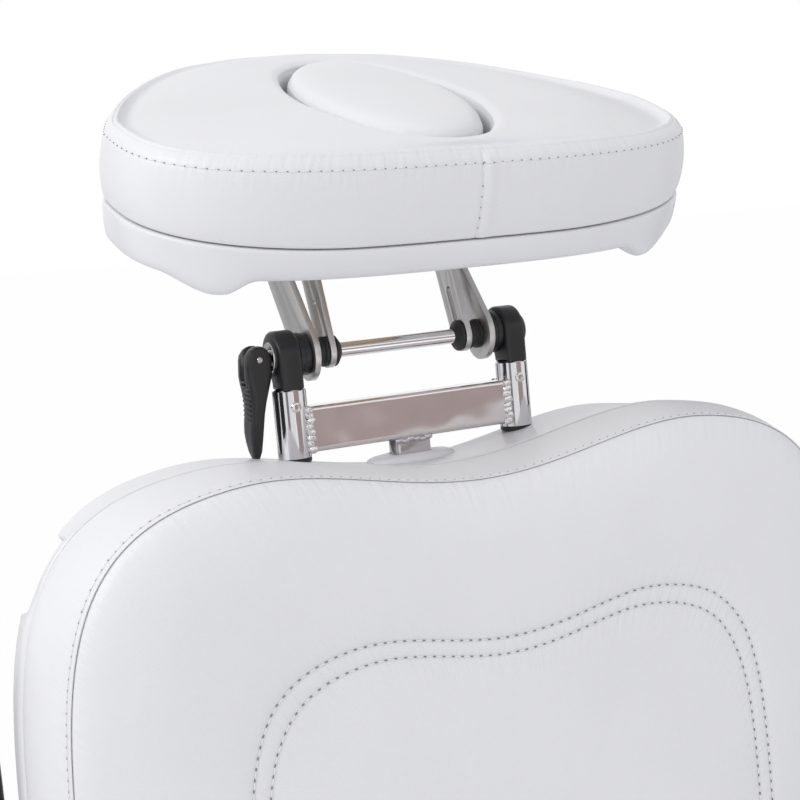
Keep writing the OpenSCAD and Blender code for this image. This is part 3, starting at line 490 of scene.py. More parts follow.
@dataclass(frozen=True)
class HeadOutline(Outline):
    """Head cushion: broad rounded front, tapering rear."""

    half_w: float = 194.5
    front: float = 90
    rear: float = 199
    mid_y: float = 20
    front_round: float = 3.1
    rear_across: float = 2.5
    rear_along: float = 1.2
    rise: float = 6.5
    rise_from: float = 70
    rise_run: float = 122
    rise_power: float = 1.6

    def at(self, inset: float, turn: float) -> tuple[float, float]:
        """The outline's point at an angle, drawn in by inset.

        Args:
            inset: How far the point is drawn in.
            turn: The angle in radians.

        Returns:
            Its x and y.
        """
        c, s = cos(turn), sin(turn)
        rear = s > 0
        b = (self.rear - self.mid_y if rear else self.front + self.mid_y) - inset
        across = self.rear_across if rear else self.front_round
        along = self.rear_along if rear else self.front_round
        x = (self.half_w - inset) * copysign(abs(c) ** (2 / across), c)
        return x, self.mid_y + b * copysign(abs(s) ** (2 / along), s)

    def front_turn(self, x: float) -> float:
        """The angle at which the front edge passes x."""
        c = x / self.half_w
        return FULL - acos(copysign(abs(c) ** (self.front_round / 2), c))

    def end_rise(self, x: float, share: float) -> Vector:
        """How much higher the joint of cushion and tray runs towards the two ends."""
        return Vector((0, 0, self.rise * (max(0, abs(x) - self.rise_from) / self.rise_run) ** self.rise_power * share))


@dataclass(frozen=True)
class OvalOutline(Outline):
    """An ellipse about a middle on the y axis."""

    mid_y: float
    half_w: float
    half_l: float
    power: float = 2

    def at(self, inset: float, turn: float) -> tuple[float, float]:
        """The outline's point at an angle, drawn in by inset.

        Args:
            inset: How far the point is drawn in.
            turn: The angle in radians.

        Returns:
            Its x and y.
        """
        a, b = self.half_w - inset, self.half_l - inset
        c, s = cos(turn), sin(turn)
        r = ((abs(c) / a) ** self.power + (abs(s) / b) ** self.power) ** (-1 / self.power)
        return r * c, self.mid_y + r * s

    def angles(self, ring: Ring) -> list[float]:
        """The angles at which another outline's points are seen from the middle."""
        return [atan2(p.y - self.mid_y, p.x) for p in ring]


@dataclass(frozen=True)
class BarOutline(Outline):
    """A rectangle with round corners, or a stadium where the corner is half its width."""

    half_w: float
    half_h: float
    corner: float
    mid_y: float = 0

    def at(self, inset: float, turn: float) -> tuple[float, float]:
        """The outline's point at an angle, drawn in by inset.

        Args:
            inset: How far the point is drawn in.
            turn: The angle in radians.

        Returns:
            Its x and y.
        """
        w, h = self.half_w - inset, self.half_h - inset
        r = min(max(self.corner - inset, 0.05), w, h)
        c, s = cos(turn), sin(turn)
        reach = min(w / max(abs(c), 1e-9), h / max(abs(s), 1e-9))
        x, y = abs(c * reach), abs(s * reach)
        ox, oy = w - r, h - r
        if x > ox and y > oy:
            half = ox * abs(c) + oy * abs(s)
            reach = half + sqrt(max(half * half - ox * ox - oy * oy + r * r, 0))
        return c * reach, self.mid_y + s * reach


# ---- meshes ----


def bell(distance: float, width: float) -> float:
    """A smooth bump of height 1 that fades over width."""
    return exp(-((distance / width) ** 2))


def step(value: float, low: float, high: float) -> float:
    """A smooth step from 0 at low to 1 at high."""
    t = min(max((value - low) / (high - low), 0), 1)
    return t * t * (3 - 2 * t)


def swell(value: float, a: float, b: float, c: float, d: float) -> float:
    """A smooth rise from 0 at a to 1 at b and back to 0 from c to d."""
    return step(value, a, b) * (1 - step(value, c, d))


class Mould:
    """A mesh in the making, in millimetres in its own frame."""

    def __init__(self, name: str) -> None:
        """Starts an empty mesh.

        Args:
            name: The piece's name.
        """
        self.name = name
        self.bm = bmesh.new()
        self.uv = self.bm.loops.layers.uv.new("UVMap")
        self.seam = self.bm.verts.layers.float.new("seam")

    def start(self, ring: Ring) -> tuple[list[Vert], list[Edge]]:
        """Begins a loft with a closed ring of vertices.

        Args:
            ring: The ring's points.

        Returns:
            Its vertices and its edges.
        """
        verts = [self.bm.verts.new(p) for p in ring]
        edges = [self.bm.edges.new((verts[j], verts[(j + 1) % len(verts)])) for j in range(len(verts))]
        return verts, edges

    def loft(self, rings: Sequence[Ring], loop: bool = False, seams: Sequence[float] | None = None) -> "Mould":
        """Extrudes a closed ring through the given rings.

        Args:
            rings: Rings of the same number of points.
            loop: Whether the last ring meets the first; otherwise both ends are filled.
            seams: A seam strength for each ring.

        Returns:
            This mould.
        """
        run = list(rings) + ([rings[0]] if loop else [])
        row, edges = self.start(run[0])
        first, rows = edges, [row]
        for ring in run[1:]:
            made = bmesh.ops.extrude_edge_only(self.bm, edges=edges)["geom"]
            fresh = {g for g in made if isinstance(g, Vert)}
            row = []
            for v, p in zip(rows[-1], ring):
                w = next(e.other_vert(v) for e in v.link_edges if e.other_vert(v) in fresh)
                w.co = p
                row.append(w)
            edges = [g for g in made if isinstance(g, Edge) and all(v in fresh for v in g.verts)]
            rows.append(row)
        if seams is not None:
            for strength, each in zip(list(seams) + [seams[0]], rows):
                for v in each:
                    v[self.seam] = strength
        self.unwrap(rows)
        if loop:
            bmesh.ops.remove_doubles(self.bm, verts=rows[0] + rows[-1], dist=1e-6)
        else:
            for end in (first, edges):
                bmesh.ops.contextual_create(self.bm, geom=end)
        return self

    def unwrap(self, rows: Sequence[Sequence[Vert]]) -> None:
        """Lays u along the middle ring and v across the rings, in metres.

        Args:
            rows: The loft's rings of vertices.
        """
        mid = rows[len(rows) // 2]
        n = len(mid)
        run = [0]
        for j in range(n):
            run.append(run[-1] + (mid[(j + 1) % n].co - mid[j].co).length * MM)
        across = [0]
        for a, b in zip(rows, rows[1:]):
            across.append(across[-1] + (b[0].co - a[0].co).length * MM)
        where = {v: (k, j) for k, row in enumerate(rows) for j, v in enumerate(row)}
        for face in self.bm.faces:
            if all(v in where for v in face.verts):
                columns = [where[v][1] for v in face.verts]
                wrap = max(columns) - min(columns) > 1
                for loop in face.loops:
                    k, j = where[loop.vert]
                    loop[self.uv].uv = (run[n if wrap and j == 0 else j], across[k])

    def lathe(self, profile: Profile, steps: int = 64, axis: str = "X",
              centre: Sequence[float] = (0, 0, 0)) -> "Mould":
        """Spins a profile round an axis.

        Args:
            profile: Stations along the axis and radii.
            steps: How many steps round.
            axis: X, Y or Z.
            centre: A point that the axis passes through, from which stations count.

        Returns:
            This mould.
        """
        along, out = AXES[axis], AXES["X" if axis == "Z" else "Z"]
        mid = Vector(centre)
        verts = [self.bm.verts.new(mid + along * s + out * r) for s, r in profile]
        edges = [self.bm.edges.new(pair) for pair in zip(verts, verts[1:])]
        bmesh.ops.spin(self.bm, geom=verts + edges, cent=mid, axis=along, angle=FULL, steps=steps,
                       use_merge=True)
        bmesh.ops.remove_doubles(self.bm, verts=self.bm.verts, dist=1e-4)
        return self

    def soften(self, edges: Sequence[Edge], bevel: float, segments: int) -> None:
        """Rounds edges off."""
        bmesh.ops.bevel(self.bm, geom=edges, offset=bevel, segments=segments, profile=0.5, affect="EDGES",
                        material=-1, clamp_overlap=True)

    def block(self, size: Sequence[float], centre: Sequence[float], bevel: float = 0, segments: int = 3) -> "Mould":
        """Adds a box with rounded edges.

        Args:
            size: Lengths along x, y and z.
            centre: Its middle.
            bevel: Radius of its edges.
            segments: Steps in each rounding.

        Returns:
            This mould.
        """
        matrix = moved(*centre) @ Matrix.Diagonal((*size, 1))
        made = bmesh.ops.create_cube(self.bm, size=1, matrix=matrix)["verts"]
        if bevel:
            self.soften(list({e for v in made for e in v.link_edges}), bevel, segments)
        return self

    def ball(self, size: Sequence[float], centre: Sequence[float], u: int = 16, v: int = 10,
             turn: Matrix | None = None) -> "Mould":
        """Adds an ellipsoid with the given half sizes.

        Args:
            size: Half sizes along x, y and z.
            centre: Its middle.
            u: Steps round.
            v: Steps from pole to pole.
            turn: A turn about its middle.

        Returns:
            This mould.
        """
        matrix = moved(*centre) @ (turn or Matrix.Identity(4)) @ Matrix.Diagonal((*size, 1))
        bmesh.ops.create_uvsphere(self.bm, u_segments=u, v_segments=v, radius=1, matrix=matrix)
        return self

    def stamped(self, places: Sequence[Matrix]) -> "Mould":
        """Repeats the shape made so far at each place and drops the first one.

        Args:
            places: Where each copy goes.

        Returns:
            This mould.
        """
        self.bm.verts.index_update()
        first = self.bm.verts[:]
        shape = [(v.index, v.co.copy()) for v in first]
        faces = [[v.index for v in f.verts] for f in self.bm.faces]
        for matrix in places:
            made = {i: self.bm.verts.new(matrix @ co) for i, co in shape}
            for face in faces:
                self.bm.faces.new([made[i] for i in face])
        bmesh.ops.delete(self.bm, geom=first, context="VERTS")
        return self

    def plate(self, outline: Profile, thick: float, start: float, bevel: float, segments: int) -> "Mould":
        """Extrudes an outline along x.

        Args:
            outline: Points as y and z.
            thick: Length along x.
            start: Where the extrusion starts.
            bevel: Radius of the edges of its two faces.
            segments: Steps in each rounding.

        Returns:
            This mould.
        """
        _, edges = self.start([Vector((start, y, z)) for y, z in outline])
        face = bmesh.ops.contextual_create(self.bm, geom=edges)["faces"][0]
        made = bmesh.ops.extrude_face_region(self.bm, geom=[face], use_keep_orig=True)["geom"]
        fresh = [g for g in made if isinstance(g, Vert)]
        bmesh.ops.translate(self.bm, verts=fresh, vec=(thick, 0, 0))
        ends = [e for e in self.bm.edges if len(e.link_faces) == 2 and e.calc_face_angle(0) > radians(50)
                and (e in edges or all(v in fresh for v in e.verts))]
        self.soften(ends, bevel, segments)
        return self

    def nudge(self, shift: Callable[[Vector], Vector]) -> "Mould":
        """Moves every vertex by what a function of its place returns.

        Args:
            shift: Gives a vertex's move from its place.

        Returns:
            This mould.
        """
        for v in self.bm.verts:
            v.co += shift(v.co)
        return self

    def mirrored(self) -> "Mould":
        """Adds the same pieces on the other side of x = 0.

        Returns:
            This mould.
        """
        geom = self.bm.verts[:] + self.bm.edges[:] + self.bm.faces[:]
        bmesh.ops.mirror(self.bm, geom=geom, axis="X", merge_dist=1e-5)
        return self

    def flipped(self) -> "Mould":
        """Moves everything to the other side of x = 0."""
        bmesh.ops.scale(self.bm, vec=(-1, 1, 1), verts=self.bm.verts)
        return self

    def place(self, place: Matrix) -> "Mould":
        """Moves the mesh by a matrix in millimetres."""
        bmesh.ops.transform(self.bm, matrix=place, verts=self.bm.verts)
        return self

    def mesh(self, sharp: float) -> bpy.types.Mesh:
        """Closes the mould into a mesh in metres, with edges sharper than the angle kept crisp.

        Args:
            sharp: Angle in degrees past which an edge stays crisp.

        Returns:
            The mesh.
        """
        bmesh.ops.transform(self.bm, matrix=Matrix.Scale(MM, 4), verts=self.bm.verts)
        bmesh.ops.recalc_face_normals(self.bm, faces=self.bm.faces)
        mesh = bpy.data.meshes.new(self.name)
        self.bm.to_mesh(mesh)
        self.bm.free()
        mesh.polygons.foreach_set("use_smooth", [True] * len(mesh.polygons))
        mesh.set_sharp_from_angle(angle=radians(sharp))
        return mesh

    def piece(self, place: Place, body: str, finish: Finish, nodes: Sequence[str] = (), sharp: float = 35,
              levels: int = 0) -> Piece:
        """Makes the object, in place, riding on its body.

        Args:
            place: The frame that the mould was drawn in.
            body: The CAD body that it rides on.
            finish: What it is made of.
            nodes: The CAD nodes that it stands for.
            sharp: Angle in degrees past which an edge stays crisp.
            levels: Subdivision levels.

        Returns:
            The new object.
        """
        obj = shown(self.name, self.place(place.value).mesh(sharp))
        obj.data.materials.append(finish.material())
        if levels:
            smooth = obj.modifiers.new("smooth", "SUBSURF")
            smooth.levels = smooth.render_levels = levels
            smooth.use_limit_surface = False
        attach(obj, body)
        if nodes:
            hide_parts(*nodes)
        LOG.info("%s rides on %s", self.name, body)
        return obj


def shown(name: str, data: bpy.types.ID) -> Piece:
    """A new object in the scene.

    Args:
        name: The object's name.
        data: Its data.

    Returns:
        The new object.
    """
    obj = bpy.data.objects.new(name, data)
    bpy.context.scene.collection.objects.link(obj)
    return obj


def spun(name: str, profile: Profile, place: Place, finish: Finish, nodes: Sequence[str], axis: str = "X",
         centre: Sequence[float] = (0, 0, 0), steps: int = 64, both: bool = True, body: str = "head_mast",
         sharp: float = 35) -> Piece:
    """A turned piece.

    Args:
        name: Its name.
        profile: Stations along the axis and radii.
        place: The frame that it is drawn in.
        finish: What it is made of.
        nodes: The CAD nodes that it stands for.
        axis: X, Y or Z.
        centre: A point that the axis passes through.
        steps: How many steps round.
        both: Whether it is there on both sides of x = 0.
        body: The body that it rides on.
        sharp: Angle past which an edge stays crisp.

    Returns:
        The new object.
    """
    mould = Mould(name).lathe(profile, steps, axis, centre)
    return (mould.mirrored() if both else mould).piece(place, body, finish, nodes, sharp)


def refined(node: str, finish: Finish, body: str, bevel: float = 0.8, segments: int = 2, sharp: float = 35,
            angle: float = 28) -> Piece:
    """A CAD node's own shape with its hard edges broken.

    Args:
        node: The CAD node.
        finish: What it is made of.
        body: The body that it rides on.
        bevel: Width of the broken edges in millimetres.
        segments: Steps in each.
        sharp: Angle past which an edge shades crisp.
        angle: Angle past which an edge is broken.

    Returns:
        The new object, which replaces the node.
    """
    mould = Mould(node + "_dressed")
    mould.bm.from_mesh(bpy.data.objects[node].data)
    bmesh.ops.scale(mould.bm, vec=(1 / MM,) * 3, verts=mould.bm.verts)
    bmesh.ops.remove_doubles(mould.bm, verts=mould.bm.verts, dist=0.005)
    bmesh.ops.dissolve_limit(mould.bm, angle_limit=radians(0.6), verts=mould.bm.verts, edges=mould.bm.edges)
    edges = [e for e in mould.bm.edges if e.is_manifold and e.calc_face_angle(0) > radians(angle)]
    mould.soften(edges, bevel, segments)
    return mould.piece(Place.FLOOR, body, finish, [node], sharp)


def carve(obj: Piece, mould: Mould, place: Place) -> None:
    """Cuts a mould's shape out of a piece.

    Args:
        obj: The piece.
        mould: The shape to take away.
        place: The frame that the mould was drawn in.
    """
    cutter = shown(mould.name, mould.place(place.value).mesh(30))
    modifier = obj.modifiers.new("cut", "BOOLEAN")
    modifier.operation, modifier.solver, modifier.object = "DIFFERENCE", "EXACT", cutter
    bpy.context.view_layer.update()
    made = bpy.data.meshes.new_from_object(obj.evaluated_get(bpy.context.evaluated_depsgraph_get()))
    obj.modifiers.clear()
    obj.data = made
    bpy.data.objects.remove(cutter)


# ---- stitching ----


@dataclass
class Stitching:
    """Lines of stitches on one body: threads that dip into needle holes, each hole marked by a dark spot of painted
    shade.
    """

    name: str
    body: str
    place: Place
    pitch: float = 6.2
    thread_r: float = 0.42
    share: float = 0.74
    # Size and colour of the dark spots of painted shade at the needle holes.
    shade_spot_r: float = 0.44
    shade_spot_l: float = 0.5
    shade: Finish = NEEDLE_HOLE_SHADE
    runs: list[tuple[list[Vector], bool]] = field(default_factory=list)

    def add(self, points: Sequence[Vector], closed: bool = True) -> None:
        """Adds a line of stitches along points on the surface."""
        self.runs.append(([Vector(p) for p in points], closed))

    def spots(self, points: list[Vector], closed: bool) -> list[tuple[Vector, Vector]]:
        """Evenly spaced points of a line with their directions.

        Args:
            points: The line's points.
            closed: Whether the line ends where it starts.

        Returns:
            Each stitch's middle and direction.
        """
        line = points + [points[0]] if closed else points
        lengths = [(b - a).length for a, b in zip(line, line[1:])]
        total = sum(lengths)
        count = max(int(total / self.pitch), 1)
        found, at, i, done = [], 0, 0, 0
        for k in range(count):
            at = total * (k + 0.5) / count
            while done + lengths[i] < at:
                done += lengths[i]
                i += 1
            a, b = line[i], line[i + 1]
            found.append((a.lerp(b, (at - done) / max(lengths[i], 1e-9)), (b - a).normalized()))
        return found

    def build(self) -> None:
        """Makes the threads and the dark spots of painted shade at the needle holes."""
        threads, holes = [], []
        for points, closed in self.runs:
            for spot, way in self.spots(points, closed):
                turn = way.to_track_quat("Z", "Y").to_matrix().to_4x4()
                threads.append(Matrix.Translation(spot) @ turn)
                holes.append(Matrix.Translation(spot + way * self.pitch / 2) @ turn)
        r = self.thread_r
        thread = Mould(self.name + "_threads").ball((r, r, self.pitch * self.share / 2), (0, 0, 0), 6, 5)
        thread.stamped(threads).piece(self.place, self.body, THREAD)
        # Dark ellipsoids at the needle holes: painted shade.
        r = self.shade_spot_r
        hole = Mould(self.name + "_holes").ball((r, r, self.shade_spot_l), (0, 0, 0), 6, 4)
        hole.stamped(holes).piece(self.place, self.body, self.shade)


# ---- cushions ----


def uneven(co: Vector, broad: float, lift: float, fine: float, start: Sequence[float], share: float) -> Vector:
    """How foam and cover lie a little higher or lower.

    Args:
        co: A vertex's place.
        broad: Scale of the broad swells.
        lift: Their height.
        fine: Scale of the fine ones.
        start: Where the fine ones start.
        share: How much of it shows here.

    Returns:
        How far the vertex moves.
    """
    height = noise.noise(co * broad) * lift + noise.noise(co * fine + Vector(start)) * 0.35
    return Vector((0, 0, height * share))


@dataclass(frozen=True)
class Row:
    """One ring of a cushion's skin: inset from the top seam, height and seam strength."""

    inset: float
    height: float
    seam: float = 0


@dataclass
class SewnPanel:
    """A boxed cushion with a side band, a top seam and a double sewn channel."""

    name: str
    node: str
    body: str
    place: Place
    outline: PanelOutline
    columns: int = 220
    depth: float = 56
    crown: float = 22
    flare: float = 14
    channel: float = 92
    channel_gap: float = 9.6
    topstitch: float = 6
    channel_high: float = 0.875
    plain_middle: float = 24

    def rows(self) -> list[Row]:
        """The skin's rings from the shell up over the seam to the middle.

        Returns:
            The rings, from outside inwards.
        """
        d, c, f = self.depth, self.crown, self.flare
        band = [(-f + 2.5, 0.5, 0), (-f - 0.2, 1.4, 0), (-f - 1.9, 5, 0), (-f - 1.6, 11, 0), (-f * 0.93 - 1, 18, 0),
                (-f * 0.78 - 1, 26, 0), (-f * 0.58 - 1, 34, 0.1), (-f * 0.38 - 0.7, 41, 0.3),
                (-f * 0.24 - 0.3, 46, 0.6)]
        stitch = d - self.topstitch
        band += [(-f * 0.13 - 0.1, stitch - 1.6, 1), (-f * 0.09 + 0.35, stitch, 1), (-f * 0.07 - 0.2, stitch + 1.6, 1),
                 (-1, d - 2.4, 1), (-0.75, d - 0.9, 1), (0.15, d - 0.3, 1), (0.5, d - 2.9, 1), (0.85, d - 0.1, 1),
                 (1.7, d + 1.1, 1)]
        top = [(3.4, 0.155, 1), (6.5, 0.26, 0.8), (11, 0.385, 0.5), (17, 0.5, 0.3), (25, 0.62, 0.1), (35, 0.735, 0),
               (47, 0.825, 0), (60, 0.89, 0), (73, 0.925, 0.1), (82, 0.925, 0.3), (88, 0.905, 0.7)]
        rows = [Row(*r) for r in band] + [Row(i, d + c * h, s) for i, h, s in top]
        k, g = self.channel, self.channel_gap
        low = d + c * self.channel_high
        for inset, drop in ((k - 1.4, 0.1), (k, 0.75), (k + 1.4, 0.1), (k + g / 2, -0.15), (k + g - 1.4, 0.1),
                            (k + g, 0.75), (k + g + 1.4, 0.1)):
            rows.append(Row(inset, low - drop, 1))
        for over, h, s in ((6, 0.90, 0.6), (14, 0.935, 0.2), (26, 0.965, 0), (42, 0.985, 0), (62, 1, 0),
                           (85, 1.01, 0), (110, 1.015, 0), (140, 1.02, 0)):
            if k + g + over < min(self.outline.half_w, (self.outline.high - self.outline.low) / 2) - self.plain_middle:
                rows.append(Row(k + g + over, d + c * h, s))
        return rows

    def soft(self, co: Vector) -> Vector:
        """Slight unevenness of foam and cover."""
        return uneven(co, 0.012, 0.8, 0.03, (9, 2, 5), step(co.z, self.depth - 6, self.depth + self.crown * 0.5))

    def build(self) -> None:
        """Makes the cushion and its stitches."""
        turns = self.outline.turns(self.columns)
        rows = self.rows()
        mould = Mould(self.name)
        mould.loft([self.outline.ring(turns, r.inset, r.height) for r in rows], seams=[r.seam for r in rows])
        mould.nudge(self.soft)
        # The channel and edge stitching get dark spots of painted shade at their needle holes, paler at the edge.
        channel = Stitching(self.name + "_channel", self.body, self.place, shade_spot_l=1.2)
        edge = Stitching(self.name + "_edge", self.body, self.place, shade_spot_l=0.8, shade=TOPSTITCH_SHADE)
        d, f = self.depth, self.flare
        top = d + self.crown * self.channel_high - 0.1
        lines = ((edge, -f * 0.09, d - self.topstitch), (channel, self.channel, top),
                 (channel, self.channel + self.channel_gap, top))
        for stitching, inset, z in lines:
            stitching.add([p + self.soft(p) for p in self.outline.ring(turns, inset, z)])
        cushion = mould.piece(self.place, self.body, WHITE_LEATHER, [self.node], SMOOTH, 1)
        channel.build()
        edge.build()


@dataclass
class HeadCushion:
    """The head cushion with its breathing hole, and the loose plug in the hole."""

    outline: HeadOutline = field(default_factory=HeadOutline)
    hole: OvalOutline = field(default_factory=lambda: OvalOutline(44, 58, 106))
    columns: int = 240
    low: float = 99.7
    top: float = 159.5
    stitch_z: float = 146.8
    stitch_in: float = 3.2
    seam_x: float = 6
    seam_top: float = 146
    seam_lean: float = 0.035
    seam_front: float = -20
    seam_deep: float = 0.9
    crown_x: float = 8
    crown_y: float = 4.5
    plug_gap: float = 5
    plug_low: float = 104.3

    def crown(self, x: float, y: float) -> float:
        """Height of the crowned top."""
        return self.top - self.crown_x * (x / 192) ** 2 - self.crown_y * ((y - 50) / 196) ** 2

    def side_rows(self) -> list[Row]:
        """The band from the tray's edge to the shoulder seam.

        Returns:
            The band's rings, from below.
        """
        s, i = self.stitch_z, self.stitch_in
        rows = [(5, self.low + 0.3, 0), (3.2, self.low + 0.8, 0), (2.3, 101.9, 0), (1.5, 105, 0), (0.7, 109, 0),
                (0.2, 115, 0), (0, 122, 0), (0.1, 129, 0), (0.6, 135, 0.2), (1.5, 140.4, 0.6), (i - 0.65, s - 1.7, 1),
                (i + 0.15, s, 1), (i + 0.5, s + 1.7, 1), (5.6, 150.9, 1), (7.3, 152.6, 1), (8.3, 153.4, 1),
                (8.9, 152.7, 1), (9.6, 153.9, 1), (11.2, 155, 0.8)]
        return [Row(*r) for r in rows]

    def pulled(self, co: Vector) -> Vector:
        """The joint of the side band at the front: a narrow groove and the ridge of the turned-in cover beside it.

        Args:
            co: A vertex's place.

        Returns:
            How far it moves.
        """
        if co.y > self.seam_front:
            return Vector()
        d = co.x - self.seam_x + self.seam_lean * (self.seam_top - co.z)
        deep = self.seam_deep * (bell(d, 1.1) - bell(d - 5.2, 3.6))
        return Vector((0, deep * swell(co.z, 98, 101, 150.5, 153.5), 0))

    def soft(self, co: Vector) -> Vector:
        """Slight unevenness of foam and cover."""
        return uneven(co, 0.014, 0.9, 0.035, (3, 8, 1), step(co.z, 148, 156))

    def crowned(self, ring: Ring, drop: float) -> Ring:
        """A ring laid a little below the crowned top."""
        return [Vector((p.x, p.y, self.crown(p.x, p.y) - drop)) for p in ring]

    def seam_turns(self) -> list[float]:
        """Extra columns at the band's joint."""
        offsets = (-4.2, -2.6, -1.3, -0.6, 0, 0.6, 1.3, 2.6, 4.2, 6, 8, 10.5)
        return [self.outline.front_turn(self.seam_x + offset) for offset in offsets]

    def cushion(self) -> None:
        """Makes the cushion and its stitches."""
        outline, hole = self.outline, self.hole
        turns = outline.turns(self.columns, self.seam_turns())
        rows = self.side_rows()
        rings = [outline.ring(turns, r.inset, r.height) for r in rows]
        seams = [r.seam for r in rows]
        shoulder = outline.ring(turns, 15, 0)
        angles = hole.angles(outline.ring(turns, 0, 0))
        inner = hole.ring(angles, -9, 0)
        fall = {0: 3, 0.06: 1.8, 0.14: 0.9, 0.26: 0.3}
        for share in (0, 0.06, 0.14, 0.26, 0.4, 0.55, 0.7, 0.83, 0.93, 1):
            rings.append(self.crowned([a.lerp(b, share) for a, b in zip(shoulder, inner)], fall.get(share, 0)))
            seams.append(0)
        for out, drop in ((6, 0.4), (3.6, 1.3), (1.7, 2.7), (0.9, 3.9), (1.2, 4.6), (0.4, 5.3), (0, 8), (0, 30)):
            rings.append(self.crowned(hole.ring(angles, -out, 0), drop))
            seams.append(1 if 1 < out < 3 else 0.3)
        rings.append(hole.ring(angles, 0, self.low + 0.3))
        seams.append(0)
        mould = Mould("headrest_leather").loft(rings, loop=True, seams=seams)
        mould.nudge(lambda co: outline.end_rise(co.x, 1 - step(co.z, 101, 138)))
        mould.nudge(self.soft).nudge(self.pulled)
        obj = mould.piece(Place.HEAD, "headrest", WHITE_LEATHER, ["headrest_cushion"], SMOOTH, 1)
        stitching = Stitching("headrest", "headrest", Place.HEAD, pitch=6.4)
        ring = outline.ring(turns, self.stitch_in - 0.1, self.stitch_z)
        stitching.add([p + self.pulled(p) for p in ring])
        column = []
        for z in range(101, 147, 3):
            inset = 2 * (1 - step(z, 99, 114)) + (self.stitch_in - 0.4) * step(z, 128, 148)
            turn = outline.front_turn(self.seam_x - self.seam_lean * (self.seam_top - z))
            p = Vector((*outline.at(inset, turn), z))
            column.append(p + self.pulled(p))
        stitching.add(column, closed=False)
        stitching.build()

    def plug(self) -> None:
        """Makes the loose plug: a padded top seamed to its side band."""
        outline = OvalOutline(self.hole.mid_y, self.hole.half_w - self.plug_gap, self.hole.half_l - self.plug_gap)
        turns = outline.turns(150)
        rows = [(0.8, self.plug_low), (-0.1, self.plug_low + 3), (-0.2, 130), (0, 149.5), (0.2, 152.6), (0.7, 153.6),
                (1, 153), (1.4, 154.2), (2.2, 156), (3.6, 158.2), (6, 160), (9.5, 161.3), (14, 162.1),
                (20, 162.8), (28, 163.2), (38, 163.4), (47, 163.5)]
        rings = []
        for inset, z in rows:
            bend = step(z, 140, 152)
            rings.append([Vector((p.x, p.y, z - bend * (self.top - self.crown(p.x, p.y))))
                          for p in outline.ring(turns, inset, z)])
        seams = [1 if 0.5 < inset < 3 and z > 150 else 0 for inset, z in rows]
        mould = Mould("plug_leather").loft(rings, seams=seams)
        obj = mould.piece(Place.HEAD, "breath_plug", WHITE_LEATHER, ["plug_cushion"], SMOOTH, 1)

    def build(self) -> None:
        """Makes both cushions."""
        self.cushion()
        self.plug()


# ---- head carrier ----


@dataclass
class HeadTray:
    """The moulded tray under the head cushion, with two finger lumps at its front corners."""

    outline: HeadOutline = field(default_factory=HeadOutline)
    ledge: OvalOutline = field(default_factory=lambda: OvalOutline(44, 44, 92))
    rim: float = 1.2
    low: float = 79.2
    high: float = 99.4
    lump_x: float = 148
    lump_mid: float = 4
    lump_y: float = -60
    lump_drop: float = 9.5
    lump_across: tuple[float, float, float, float] = (-24, -5, -1, 27)
    lump_along: tuple[float, float, float, float] = (-48, -26, 16, 34)
    lump_fade: tuple[float, float] = (84, 92)

    def lump(self, co: Vector) -> Vector:
        """The finger lumps, blended into the tray's underside.

        Args:
            co: A vertex's place.

        Returns:
            How far it moves.
        """
        across = swell(abs(co.x + self.lump_mid) - self.lump_x, *self.lump_across)
        along = swell(co.y - self.lump_y, *self.lump_along)
        return Vector((0, 0, -self.lump_drop * across * along * (1 - step(co.z, *self.lump_fade))))

    def build(self) -> None:
        """Makes the tray."""
        outline, ledge = self.outline, self.ledge
        turns = outline.turns(260)
        rows = [(1.6, self.high), (0.4, self.high - 0.5), (0, self.high - 1.6), (0.1, 94), (0.5, 89.5), (1.3, 85.8),
                (2.9, 82.8), (5.4, 80.8), (9, 79.6), (14, self.low)]
        rings = [outline.ring(turns, self.rim + i, z) for i, z in rows]
        angles = ledge.angles(outline.ring(turns, 0, 0))
        outer, inner = outline.ring(turns, self.rim + 14, 0), ledge.ring(angles, -3, 0)
        for share in (0.05, 0.1, 0.16, 0.23, 0.3, 0.38, 0.5, 0.65, 0.8, 1):
            rings.append([Vector((*a.lerp(b, share).xy, self.low)) for a, b in zip(outer, inner)])
        for inset, z in ((-0.6, self.low + 0.6), (0, self.low + 2.5), (0, self.high)):
            rings.append(ledge.ring(angles, inset, z))
        mould = Mould("headrest_tray_moulding").loft(rings, loop=True).nudge(self.lump)
        mould.nudge(lambda co: outline.end_rise(co.x, step(co.z, 83, 96)))
        mould.piece(Place.HEAD, "headrest", WHITE_PLASTIC, ["headrest_tray"], 50, 1)


